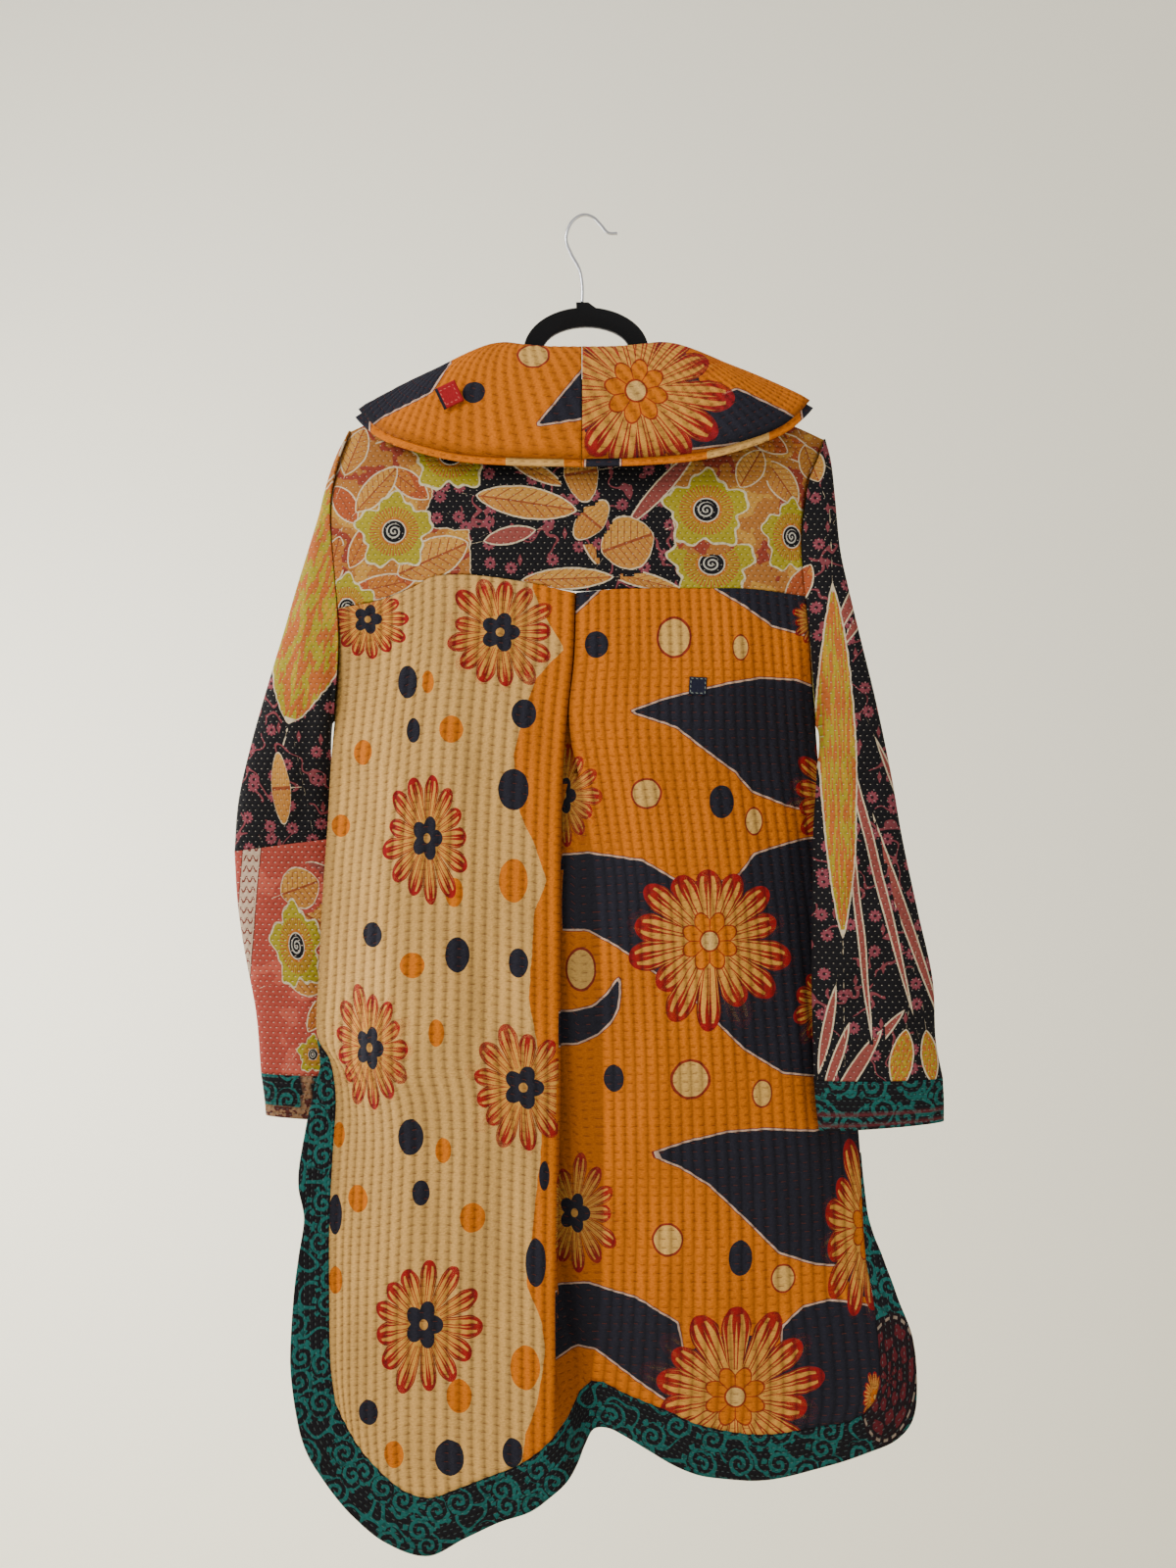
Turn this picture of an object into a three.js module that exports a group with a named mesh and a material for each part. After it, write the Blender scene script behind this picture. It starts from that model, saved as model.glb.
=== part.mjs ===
// A quilted patchwork coat, hung flat on a slim hanger, seen with its back towards -Y.
// Millimetres, +Z up. The origin is the inside of the top of the hanger's hook.
// Picture left is -X. The coat's fronts face +Y.
import * as THREE from "three";

// Cloth
const WALL = 1.8; // thickness of one quilted panel
const SEAM = 0.3; // gap between two pieces that are sewn edge to edge
const RIDGE = 0.9; // half gap where a back and a front piece meet over a ridge
const ARMHOLE_GAP = 0.9; // of the sleeve's first ring
const ARMHOLE_INSET = 0.6; // of the body's edge at the armhole
const FRONT_INSET = 1.2;
const EDGE_FADE = 0.08; // share of a panel over which its folds die out at the side
const RIB_HEIGHT = 1.3; // of the quilting on the back panel
const LEFT_RIBS = 21; // ribs across the back panel, left and right of the pleat, 10.9 mm apart
const RIGHT_RIBS = 23;
const COLLAR_RIBS = 21; // on the back half of each collar piece
const COLLAR_RIB_HEIGHT = 0.9;
const FOLD_RADIUS = 1.6; // of the middle of the cloth where the pleat turns back
const YOKE_FULLNESS = 9;
const SHOULDER_ROUND = 7; // how far the cloth spreads over the hanger's arms
const SHOULDER_DROP = 6;
const PATCH_WALL = 0.8; // the two small square patches
const PATCH_SIZE = 17;
const PATCH_BACK = { x: 112, z: -469, turn: 0.05, lift: 3.2 };
const PATCH_COLLAR = { x: -127, z: -191, turn: -0.45, lift: 2.9 };

// Hanger
const HANGER_THICKNESS = 6;
const WIRE_RADIUS = 1.6;

// Armholes, from the shoulder point to the underarm
const ARMHOLE_DEPTH = 22; // half depth, front to back
const ARMHOLE_LEFT = [
  { x: -230, z: -214 },
  { x: -242, z: -253 },
  { x: -247, z: -292 },
  { x: -244, z: -341 },
  { x: -240, z: -389 },
  { x: -239, z: -428 },
  { x: -242, z: -467 },
  { x: -246, z: -501 },
];
const ARMHOLE_RIGHT = [
  { x: 240, z: -222 },
  { x: 232, z: -243 },
  { x: 224, z: -260 },
  { x: 219, z: -285 },
  { x: 215, z: -324 },
  { x: 217, z: -361 },
  { x: 223, z: -413 },
  { x: 228, z: -467 },
  { x: 232, z: -506 },
];
// Fractions of the armhole, from the shoulder down, at which the yoke ends
const YOKE_END_LEFT = 0.62;
const YOKE_END_RIGHT = 0.56;

// Yoke seam, left to right
const YOKE_SEAM = [
  { x: -196, y: -31, z: -384 },
  { x: -161, y: -36, z: -371 },
  { x: -146, y: -38, z: -363 },
  { x: -110, y: -40, z: -361 },
  { x: -50, y: -41, z: -369 },
  { x: -7, y: -42, z: -377 },
  { x: 32, y: -42, z: -375 },
  { x: 123, y: -39, z: -374 },
  { x: 163, y: -34, z: -374 },
];
// Shoulders and back neck, left to right, between the shoulder points
const YOKE_TOP = [
  { x: -190, y: -0.9, z: -198 },
  { x: -130, y: -0.9, z: -174 },
  { x: -78, y: -2, z: -153 },
  { x: -52, y: -9, z: -160 },
  { x: 0, y: -14, z: -166 },
  { x: 52, y: -9, z: -160 },
  { x: 78, y: -2, z: -153 },
  { x: 140, y: -0.9, z: -178 },
  { x: 198, y: -0.9, z: -204 },
];

// Side edges of the back panel, from the underarm to the corner of the tail
const SIDE_LEFT = [
  { x: -249, y: -1, z: -544 },
  { x: -252, y: -1, z: -600 },
  { x: -257, y: -1, z: -670 },
  { x: -261, y: -1, z: -750 },
  { x: -262, y: -1.5, z: -816 },
  { x: -250, y: -5, z: -836 },
  { x: -243, y: -11, z: -870 },
  { x: -244, y: -22, z: -924 },
  { x: -246, y: -31, z: -990 },
  { x: -245, y: -38, z: -1064 },
  { x: -243, y: -43, z: -1125 },
  { x: -238, y: -46, z: -1160 },
];
const SIDE_RIGHT = [
  { x: 233, y: -1, z: -530 },
  { x: 237, y: -1, z: -570 },
  { x: 246, y: -1, z: -650 },
  { x: 258, y: -1, z: -758 },
  { x: 268, y: -1, z: -846 },
  { x: 275, y: -3, z: -925 },
  { x: 277, y: -11, z: -991 },
  { x: 279, y: -20, z: -1033 },
  { x: 284, y: -29, z: -1065 },
  { x: 287, y: -37, z: -1100 },
  { x: 288, y: -43, z: -1139 },
  { x: 283, y: -45, z: -1159 },
];

// The pleat under the yoke: x1 is its left fold edge, x2 the fold under it, x3 the fold at the
// right and x4 the right fold edge; y1 to y4 are their depths. It opens towards the hem.
const PLEAT = [
  { z: -378.4, x1: -9, y1: -42, x2: -46, y2: -36, x3: 32, y3: -32, x4: -3, y4: -42 },
  { z: -440, x1: -11, y1: -43, x2: -49, y2: -37, x3: 26, y3: -33, x4: -5, y4: -43 },
  { z: -500, x1: -17, y1: -44, x2: -55, y2: -38, x3: 12, y3: -34, x4: -10, y4: -44 },
  { z: -560, x1: -21, y1: -46, x2: -59, y2: -40, x3: -4, y3: -36, x4: -2, y4: -42 },
  { z: -650, x1: -23, y1: -48, x2: -61, y2: -42, x3: -25, y3: -38, x4: 12, y4: -43 },
  { z: -760, x1: -23, y1: -51, x2: -60, y2: -44, x3: -27, y3: -39, x4: 18, y4: -45 },
  { z: -860, x1: -23, y1: -54, x2: -56, y2: -46, x3: -26, y3: -39, x4: 20, y4: -46 },
  { z: -960, x1: -25, y1: -57, x2: -50, y2: -47, x3: -24, y3: -38, x4: 20, y4: -46 },
  { z: -1050, x1: -26, y1: -60, x2: -42, y2: -48, x3: -20, y3: -36, x4: 18, y4: -44 },
  { z: -1120, x1: -26, y1: -62, x2: -30, y2: -48, x3: -12, y3: -34, x4: 14, y4: -39 },
  { z: -1187, x1: -27, y1: -62, x2: -14, y2: -48, x3: -3, y3: -35, x4: 9, y4: -33 },
];
// Height of the pleat's inner folds at the hem, which rises towards the valley of the pleat
const PLEAT_HEM = [
  { z1: -1187, z2: -1174, z3: -1154, z4: -1144 },
];

// Lower edge of the back panel, between its left corner and the pleat
const HEM_LEFT = [
  { x: -229, y: -48, z: -1178 },
  { x: -215, y: -50, z: -1201 },
  { x: -195, y: -54, z: -1222 },
  { x: -170, y: -59, z: -1240 },
  { x: -146, y: -63, z: -1245 },
  { x: -118, y: -66, z: -1235 },
  { x: -92, y: -68, z: -1224 },
  { x: -61, y: -68, z: -1212 },
  { x: -41, y: -67, z: -1199 },
];
// and between the pleat and its right corner
const HEM_RIGHT = [
  { x: 21, y: -37, z: -1144 },
  { x: 40, y: -42, z: -1152 },
  { x: 63, y: -47, z: -1160 },
  { x: 84, y: -51, z: -1167 },
  { x: 107, y: -54, z: -1177 },
  { x: 129, y: -56, z: -1182 },
  { x: 160, y: -56, z: -1187 },
  { x: 187, y: -55, z: -1187 },
  { x: 231, y: -51, z: -1181 },
  { x: 252, y: -49, z: -1179 },
  { x: 270, y: -47, z: -1172 },
];

// Outer edge of the back's border, with the point of the panel's edge that each lies opposite
const BORDER = [
  { inX: -262, inZ: -816, x: -262.9, y: -1.5, z: -817 },
  { inX: -250, inZ: -836, x: -259, y: -5, z: -841 },
  { inX: -243, inZ: -870, x: -265, y: -11, z: -868 },
  { inX: -244, inZ: -924, x: -275, y: -22, z: -924 },
  { inX: -245, inZ: -957, x: -277, y: -27, z: -957 },
  { inX: -246, inZ: -990, x: -271, y: -31, z: -988 },
  { inX: -246, inZ: -1027, x: -276, y: -35, z: -1026 },
  { inX: -245, inZ: -1064, x: -280, y: -38, z: -1064 },
  { inX: -243, inZ: -1125, x: -282, y: -43, z: -1126 },
  { inX: -238, inZ: -1160, x: -275, y: -46, z: -1178 },
  { inX: -229, inZ: -1178, x: -265, y: -48, z: -1209 },
  { inX: -215, inZ: -1201, x: -247, y: -50, z: -1237 },
  { inX: -195, inZ: -1222, x: -222, y: -54, z: -1265 },
  { inX: -170, inZ: -1240, x: -188, y: -59, z: -1290 },
  { inX: -146, inZ: -1245, x: -148, y: -63, z: -1301 },
  { inX: -118, inZ: -1235, x: -112, y: -66, z: -1283 },
  { inX: -92, inZ: -1224, x: -80, y: -68, z: -1267 },
  { inX: -61, inZ: -1212, x: -50, y: -68, z: -1257 },
  { inX: -41, inZ: -1199, x: -30, y: -67, z: -1243 },
  { inX: -27, inZ: -1187, x: -15, y: -62, z: -1231 },
  { inX: -14, inZ: -1174, x: -5, y: -48, z: -1219 },
  { inX: -3, inZ: -1154, x: 3, y: -35, z: -1204 },
  { inX: 9, inZ: -1144, x: 12, y: -33, z: -1191 },
  { inX: 21, inZ: -1144, x: 26, y: -37, z: -1189 },
  { inX: 40, inZ: -1152, x: 42, y: -42, z: -1195 },
  { inX: 63, inZ: -1160, x: 65, y: -47, z: -1207 },
  { inX: 84, inZ: -1167, x: 86, y: -51, z: -1218 },
  { inX: 107, inZ: -1177, x: 110, y: -54, z: -1227 },
  { inX: 129, inZ: -1182, x: 134, y: -56, z: -1230 },
  { inX: 160, inZ: -1187, x: 166, y: -56, z: -1232 },
  { inX: 187, inZ: -1187, x: 195, y: -55, z: -1229 },
  { inX: 231, inZ: -1181, x: 247, y: -51, z: -1217 },
  { inX: 252, inZ: -1179, x: 278, y: -49, z: -1207 },
  { inX: 270, inZ: -1172, x: 303, y: -47, z: -1197 },
  { inX: 283, inZ: -1159, x: 319, y: -46, z: -1178 },
  { inX: 288, inZ: -1139, x: 324, y: -43, z: -1147 },
  { inX: 287, inZ: -1100, x: 321, y: -37, z: -1102 },
  { inX: 284, inZ: -1065, x: 308, y: -29, z: -1065 },
  { inX: 279, inZ: -1033, x: 297, y: -20, z: -1033 },
  { inX: 277, inZ: -991, x: 283, y: -11, z: -993 },
  { inX: 275, inZ: -925, x: 276, y: -3, z: -926 },
];
const BORDER_GAP = 1.7;
// Columns of the side parts of the border for each row of the back panel
const SIDE_PARTS = 3;

// Soft folds of the back, from one point to another in the picture plane
const BACK_FOLDS = [
  { x0: -243, z0: -512, x1: -150, z1: -575, width: 13, height: 6 },
  { x0: -246, z0: -540, x1: -170, z1: -640, width: 14, height: -5 },
  { x0: -120, z0: -400, x1: -138, z1: -760, width: 24, height: 5 },
  { x0: -185, z0: -660, x1: -160, z1: -1150, width: 30, height: 7 },
  { x0: -80, z0: -560, x1: -84, z1: -1150, width: 26, height: -6 },
  { x0: 60, z0: -520, x1: 76, z1: -1080, width: 24, height: 5 },
  { x0: 150, z0: -600, x1: 165, z1: -1120, width: 28, height: -5 },
  { x0: 205, z0: -700, x1: 235, z1: -1090, width: 22, height: 6 },
];

// Rings of the sleeves, from the armhole down: the point of the outer edge, the point of the inner
// edge, the depth of the middle, half the depth, and how much of the armhole's bow is left
const SLEEVE_LEFT = [
  { outX: -230, outZ: -214, inX: -246, inZ: -501, y: 0, half: 22, bow: 1 },
  { outX: -245, outZ: -243, inX: -253, inZ: -506, y: 1, half: 22, bow: 0.8 },
  { outX: -261, outZ: -298, inX: -256, inZ: -514, y: 2, half: 22, bow: 0.5 },
  { outX: -283, outZ: -368, inX: -258, inZ: -524, y: 4, half: 21, bow: 0.2 },
  { outX: -297, outZ: -413, inX: -260, inZ: -536, y: 8, half: 20, bow: 0 },
  { outX: -312, outZ: -459, inX: -261, inZ: -554, y: 13, half: 18, bow: 0 },
  { outX: -331, outZ: -521, inX: -257, inZ: -575, y: 19, half: 16, bow: 0 },
  { outX: -345, outZ: -579, inX: -252, inZ: -597, y: 23, half: 15, bow: 0 },
  { outX: -350, outZ: -632, inX: -248, inZ: -618, y: 26, half: 15, bow: 0 },
  { outX: -347, outZ: -686, inX: -241, inZ: -668, y: 28, half: 15, bow: 0 },
  { outX: -340, outZ: -735, inX: -237, inZ: -715, y: 29, half: 15, bow: 0 },
  { outX: -329, outZ: -795, inX: -228, inZ: -785, y: 30, half: 14, bow: 0 },
  { outX: -324, outZ: -856, inX: -214, inZ: -858, y: 30, half: 14, bow: 0 },
];
const LEFT_PIECING = 8; // ring at which the lower sleeve is pieced on
const CUFF_LEFT = [
  { outX: -324, outZ: -856.8, inX: -214, inZ: -858.8, y: 30, half: 14, bow: 0 },
  { outX: -321, outZ: -878, inX: -210, inZ: -882, y: 30, half: 14, bow: 0 },
  { outX: -319, outZ: -898, inX: -208, inZ: -903, y: 30, half: 14, bow: 0 },
];
const SLEEVE_RIGHT = [
  { outX: 240, outZ: -222, inX: 232, inZ: -506, y: 0, half: 22, bow: 1 },
  { outX: 246, outZ: -245, inX: 237, inZ: -511, y: -3, half: 22, bow: 0.85 },
  { outX: 249, outZ: -279, inX: 239, inZ: -518, y: -8, half: 21, bow: 0.6 },
  { outX: 253, outZ: -332, inX: 239, inZ: -527, y: -15, half: 20, bow: 0.35 },
  { outX: 260, outZ: -372, inX: 237, inZ: -537, y: -23, half: 19, bow: 0.15 },
  { outX: 270, outZ: -420, inX: 233, inZ: -549, y: -31, half: 18, bow: 0 },
  { outX: 285, outZ: -486, inX: 228, inZ: -569, y: -37, half: 17, bow: 0 },
  { outX: 299, outZ: -557, inX: 225, inZ: -606, y: -41, half: 16, bow: 0 },
  { outX: 309, outZ: -617, inX: 224, inZ: -649, y: -43, half: 16, bow: 0 },
  { outX: 324, outZ: -688, inX: 223, inZ: -701, y: -44, half: 16, bow: 0 },
  { outX: 338, outZ: -752, inX: 223, inZ: -757, y: -44, half: 16, bow: 0 },
  { outX: 341, outZ: -810, inX: 224, inZ: -809, y: -44, half: 16, bow: 0 },
  { outX: 348, outZ: -848, inX: 225, inZ: -850, y: -44, half: 15, bow: 0 },
];
const CUFF_RIGHT = [
  { outX: 348, outZ: -848.8, inX: 225, inZ: -850.8, y: -44, half: 15, bow: 0 },
  { outX: 349, outZ: -869, inX: 227, inZ: -874, y: -44, half: 15, bow: 0 },
  { outX: 349, outZ: -889, inX: 230, inZ: -898, y: -44, half: 15, bow: 0 },
];
const SLEEVE_COLUMNS = 20;

// Free edges of the fronts on the left; the right is its mirror image but for the side.
const FRONT_SIDE_LEFT = [
  { x: -249, y: 1, z: -544 },
  { x: -252, y: 1, z: -600 },
  { x: -257, y: 1, z: -670 },
  { x: -261, y: 1.2, z: -750 },
  { x: -262, y: 2, z: -815 },
  { x: -254, y: 6, z: -860 },
  { x: -247, y: 10, z: -930 },
  { x: -243, y: 15, z: -1010 },
  { x: -236, y: 20, z: -1070 },
];
const FRONT_SIDE_RIGHT = [
  { x: 233, y: 1, z: -530 },
  { x: 237, y: 1, z: -570 },
  { x: 246, y: 1, z: -650 },
  { x: 258, y: 1, z: -758 },
  { x: 267, y: 2, z: -846 },
  { x: 264, y: 6, z: -900 },
  { x: 258, y: 12, z: -1000 },
  { x: 248, y: 19, z: -1070 },
];
const FRONT_EDGE = [
  { x: 78, y: 2, z: -153 },
  { x: 74, y: 13, z: -185 },
  { x: 60, y: 23, z: -260 },
  { x: 34, y: 27, z: -380 },
  { x: 16, y: 28, z: -480 },
  { x: 14, y: 28, z: -700 },
  { x: 14, y: 27, z: -900 },
  { x: 14, y: 25, z: -1112 },
];
const FRONT_HEM = [
  { x: 222, y: 21, z: -1092 },
  { x: 196, y: 22, z: -1108 },
  { x: 120, y: 24, z: -1114 },
];
const FRONT_ROWS = [0, 0.005, 0.018, 0.045, 0.09, 0.17, 0.27, 0.39, 0.51, 0.63, 0.76, 0.88, 1];
const FRONT_COLUMNS = 10;
const FRONT_LENGTH = 900;

// Half of the collar, from the centre back to the lower end of the front: where it is sewn on
// (n), where it rolls over (r), its outer edge (e), and how far it bulges between (b)
const COLLAR = [
  { nx: 0, ny: -14, nz: -164, rx: 0, ry: -24, rz: -138, ex: 0, ey: -62, ez: -253, by: -9, bz: 62 },
  { nx: 28, ny: -12, nz: -161.5, rx: 30, ry: -23, rz: -137, ex: 62, ey: -61, ez: -251, by: -9, bz: 60 },
  { nx: 52, ny: -9, nz: -157.5, rx: 55, ry: -19, rz: -133, ex: 117, ey: -59, ez: -245, by: -9, bz: 54 },
  { nx: 68, ny: -5, nz: -153, rx: 70, ry: -12, rz: -129, ex: 162, ey: -55, ez: -232, by: -8, bz: 45 },
  { nx: 76, ny: -1, nz: -150, rx: 78, ry: -5, rz: -127, ex: 193, ey: -42, ez: -217, by: -6, bz: 33 },
  { nx: 78, ny: 6, nz: -151, rx: 80, ry: 3, rz: -128, ex: 213, ey: -24, ez: -199, by: -3, bz: 22 },
  { nx: 77, ny: 15.5, nz: -162, rx: 80, ry: 15, rz: -133, ex: 225, ey: -4, ez: -184, by: 0, bz: 14 },
  { nx: 74, ny: 23, nz: -183, rx: 78, ry: 29, rz: -148, ex: 219, ey: 18, ez: -190, by: 4, bz: 12 },
  { nx: 70, ny: 26, nz: -206, rx: 73, ry: 40, rz: -176, ex: 203, ey: 36, ez: -216, by: 8, bz: 8 },
  { nx: 61, ny: 30.5, nz: -256, rx: 64, ry: 45, rz: -225, ex: 172, ey: 46, ez: -268, by: 6, bz: 5 },
  { nx: 46, ny: 31.5, nz: -328, rx: 49, ry: 45, rz: -300, ex: 132, ey: 48, ez: -345, by: 4, bz: 3 },
  { nx: 28, ny: 31.5, nz: -412, rx: 32, ry: 43, rz: -388, ex: 84, ey: 46, ez: -432, by: 3, bz: 2 },
  { nx: 16, ny: 32, nz: -484, rx: 20, ry: 40, rz: -470, ex: 34, ey: 42, ez: -512, by: 1, bz: 1 },
];
const COLLAR_BACK = 0.47; // fraction of the collar's length that lies on the back
const LEFT_TIP_DROP = 9; // the left tip hangs lower than the right one
const LEFT_TIP_IN = 4;
const UNDER_COLLAR_FROM = 0.8; // fraction of the collar's fall at which the under collar starts
const UNDER_COLLAR_SHOWS = 7; // how far it stands out below the collar

// Hanger, in the plane y = 0
const ARM_END = { left: -212, right: 219, z: -217 };
const ARM_TOP = { left: -82, right: 84, z: -163 };
const BAR = { top: -231, bottom: -240 };
const ARCH = { x: 4, z: -134, radiusX: 62, radiusZ: 43, width: 19 };
const BOSS = { width: 12, top: -86 };
const HOOK = [
  { x: 0, z: -85.6 },
  { x: 0, z: -68 },
  { x: -3, z: -52 },
  { x: -11, z: -37 },
  { x: -16, z: -23 },
  { x: -12.5, z: -9 },
  { x: -6, z: -1.5 },
  { x: 2, z: 1.6 },
  { x: 11, z: -1 },
  { x: 19, z: -9 },
  { x: 26, z: -16.5 },
  { x: 35, z: -17 },
];

// A curve through the rows of a table, taken by the fraction of its length.
function curveThrough(rows) {
  const curve = new THREE.CatmullRomCurve3(
    rows.map((row) => new THREE.Vector3(row.x, row.y ?? 0, row.z)),
    false,
    "centripetal",
  );
  return (t) => curve.getPointAt(Math.min(Math.max(t, 0), 1));
}

function lerp(a, b, t) {
  return a + (b - a) * t;
}

function smooth(t) {
  const s = Math.min(Math.max(t, 0), 1);
  return s * s * (3 - 2 * s);
}

// The value of one column of a table at the fraction t of its rows.
function columnAt(rows, name, t) {
  const place = Math.min(Math.max(t, 0), 1) * (rows.length - 1);
  const row = Math.min(Math.floor(place), rows.length - 2);
  return lerp(rows[row][name], rows[row + 1][name], place - row);
}

// A patch between four edges; the depth leaves the side edges as fast as the edge says.
function patch({ top, bottom, left, right, edge }) {
  const corners = [top(0), top(1), bottom(0), bottom(1)];
  return (u, v) => {
    const a = top(u);
    const b = bottom(u);
    const l = left(v);
    const r = right(v);
    const blend = (axis, w) => {
      const [c00, c10, c01, c11] = corners.map((corner) => corner[axis]);
      const across = lerp(a[axis], b[axis], v);
      const leftShift = l[axis] - lerp(c00, c01, v);
      const rightShift = r[axis] - lerp(c10, c11, v);
      return across + leftShift * (1 - w) + rightShift * w;
    };
    const depthLeft = smooth(u / edge.left);
    const depthRight = smooth((1 - u) / edge.right);
    const [c00, c10, c01, c11] = corners.map((corner) => corner.y);
    const y =
      lerp(a.y, b.y, v) +
      (l.y - lerp(c00, c01, v)) * (1 - depthLeft) +
      (r.y - lerp(c10, c11, v)) * (1 - depthRight);
    return new THREE.Vector3(blend("x", u), y, blend("z", u));
  };
}

// Height of the soft folds at a point of the picture plane.
function foldHeight(folds, x, z) {
  let height = 0;
  for (const fold of folds) {
    const dx = fold.x1 - fold.x0;
    const dz = fold.z1 - fold.z0;
    const t = ((x - fold.x0) * dx + (z - fold.z0) * dz) / (dx * dx + dz * dz);
    const inside = Math.min(Math.max(t, 0), 1);
    const away = Math.hypot(x - fold.x0 - inside * dx, z - fold.z0 - inside * dz);
    const taper = Math.sin(Math.PI * Math.min(Math.max(t, 0.02), 0.98));
    height += fold.height * Math.exp(-((away / fold.width) ** 2)) * taper ** 0.5;
  }
  return height;
}

// Unit normals of a grid of points. They point to -Y where the columns run to +X and the rows down.
function gridNormals(grid, closed) {
  const rows = grid.length;
  const cols = grid[0].length;
  return grid.map((line, r) =>
    line.map((point, c) => {
      const before = closed ? line[(c + cols - 1) % cols] : line[Math.max(c - 1, 0)];
      const after = closed ? line[(c + 1) % cols] : line[Math.min(c + 1, cols - 1)];
      const above = grid[Math.max(r - 1, 0)][c];
      const below = grid[Math.min(r + 1, rows - 1)][c];
      const across = after.clone().sub(before);
      const down = below.clone().sub(above);
      return down.cross(across).normalize();
    }),
  );
}

// Triangles that join two lines of points. Each point has its place along the line, so that lines
// with different numbers of points are joined place by place.
function strip(faces, first, second, flip) {
  let i = 0;
  let j = 0;
  while (i < first.length - 1 || j < second.length - 1) {
    const firstLeft = i < first.length - 1;
    const secondLeft = j < second.length - 1;
    const moveFirst = !secondLeft || (firstLeft && first[i + 1].place <= second[j + 1].place);
    const face = moveFirst
      ? [first[i + 1].index, first[i].index, second[j].index]
      : [second[j].index, second[j + 1].index, first[i].index];
    faces.push(...(flip ? face.reverse() : face));
    if (moveFirst) i += 1;
    else j += 1;
  }
}

// Triangles over a grid of vertex numbers.
function sheetFaces(faces, grid, flip) {
  for (let r = 0; r < grid.length - 1; r += 1) {
    for (let c = 0; c < grid[r].length - 1; c += 1) {
      const quad = [grid[r][c], grid[r][c + 1], grid[r + 1][c + 1], grid[r + 1][c]];
      const [a, b, d, e] = flip ? quad.slice().reverse() : quad;
      faces.push(a, b, d, a, d, e);
    }
  }
}

// One closed wall of cloth on a grid of middle points. The outer side carries the ribs; the inner
// side is plain and keeps only the columns that it is given. A closed wall is a tube. The normals
// of the first row can be those of the piece that it is sewn to.
function clothWall({
  middle,
  rib = () => 0,
  keep = () => true,
  closed = false,
  firstNormals,
  thickness = WALL,
}) {
  const normals = gridNormals(middle, closed);
  if (firstNormals) normals[0] = firstNormals;
  const points = [];
  const add = (point, normal, distance) => {
    points.push(point.clone().addScaledVector(normal, distance));
    return points.length - 1;
  };
  const outer = middle.map((line, r) =>
    line.map((point, c) => add(point, normals[r][c], thickness / 2 + rib(r, c))),
  );
  const columns = middle[0].map((_, c) => c).filter((c) => keep(c));
  const inner = middle.map((line, r) =>
    columns.map((c) => add(line[c], normals[r][c], -thickness / 2)),
  );
  if (closed) {
    outer.forEach((line) => line.push(line[0]));
    inner.forEach((line) => line.push(line[0]));
  }
  const faces = [];
  sheetFaces(faces, outer, false);
  sheetFaces(faces, inner, true);
  const places = closed ? [...columns, middle[0].length] : columns;
  const outerLine = (r) => outer[r].map((index, c) => ({ index, place: c }));
  const innerLine = (r) => inner[r].map((index, c) => ({ index, place: places[c] }));
  const last = middle.length - 1;
  strip(faces, outerLine(0), innerLine(0), false);
  strip(faces, outerLine(last), innerLine(last), true);
  if (!closed) {
    const side = (grid, end) =>
      grid.map((line, place) => ({ index: line[end ? line.length - 1 : 0], place }));
    strip(faces, side(outer, false), side(inner, false), true);
    strip(faces, side(outer, true), side(inner, true), false);
  }
  return facingOut(points, faces);
}

// A geometry from points and faces, turned so that its faces point out.
function facingOut(points, faces) {
  let volume = 0;
  for (let i = 0; i < faces.length; i += 3) {
    const [a, b, c] = [points[faces[i]], points[faces[i + 1]], points[faces[i + 2]]];
    volume += a.dot(b.clone().cross(c));
  }
  const turned = volume < 0 ? faces.slice().reverse() : faces;
  const geometry = new THREE.BufferGeometry().setFromPoints(points);
  geometry.setIndex(turned);
  return geometry;
}

const coat = new THREE.Group();

function addPiece(name, geometry, colour, roughness = 0.85, metalness = 0) {
  const material = new THREE.MeshStandardMaterial({ color: colour, roughness, metalness });
  const mesh = new THREE.Mesh(geometry, material);
  mesh.name = name;
  coat.add(mesh);
}

// A point of an armhole: t runs from the shoulder to the underarm, side is -1 for the back half.
function armhole(rows) {
  const spine = curveThrough(rows);
  return (t, side) => {
    const point = spine(t);
    const depth = Math.max(ARMHOLE_DEPTH * Math.sin(Math.PI * t), RIDGE);
    return point.setY(side * depth);
  };
}
const armholeLeft = armhole(ARMHOLE_LEFT);
const armholeRight = armhole(ARMHOLE_RIGHT);

// Samples of a curve between two fractions, as rows of a table.
function samples(curve, from, to, count) {
  return Array.from({ length: count }, (_, i) => curve(lerp(from, to, i / (count - 1))));
}

// Extra depth that rounds the cloth over the hanger's arms, at a distance below the shoulder line.
function shoulderRound(u, distance) {
  const inside = smooth(u / 0.06) * smooth((1 - u) / 0.06);
  const rise = 1 - Math.exp(-distance / SHOULDER_DROP);
  return SHOULDER_ROUND * inside * rise * (1 - smooth(distance / 160));
}

// Yoke
const YOKE_ROWS = [0, 0.02, 0.06, 0.14, 0.28, 0.45, 0.63, 0.82, 1];
const YOKE_COLUMNS = 20;
const YOKE_LENGTH = 200;

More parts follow.
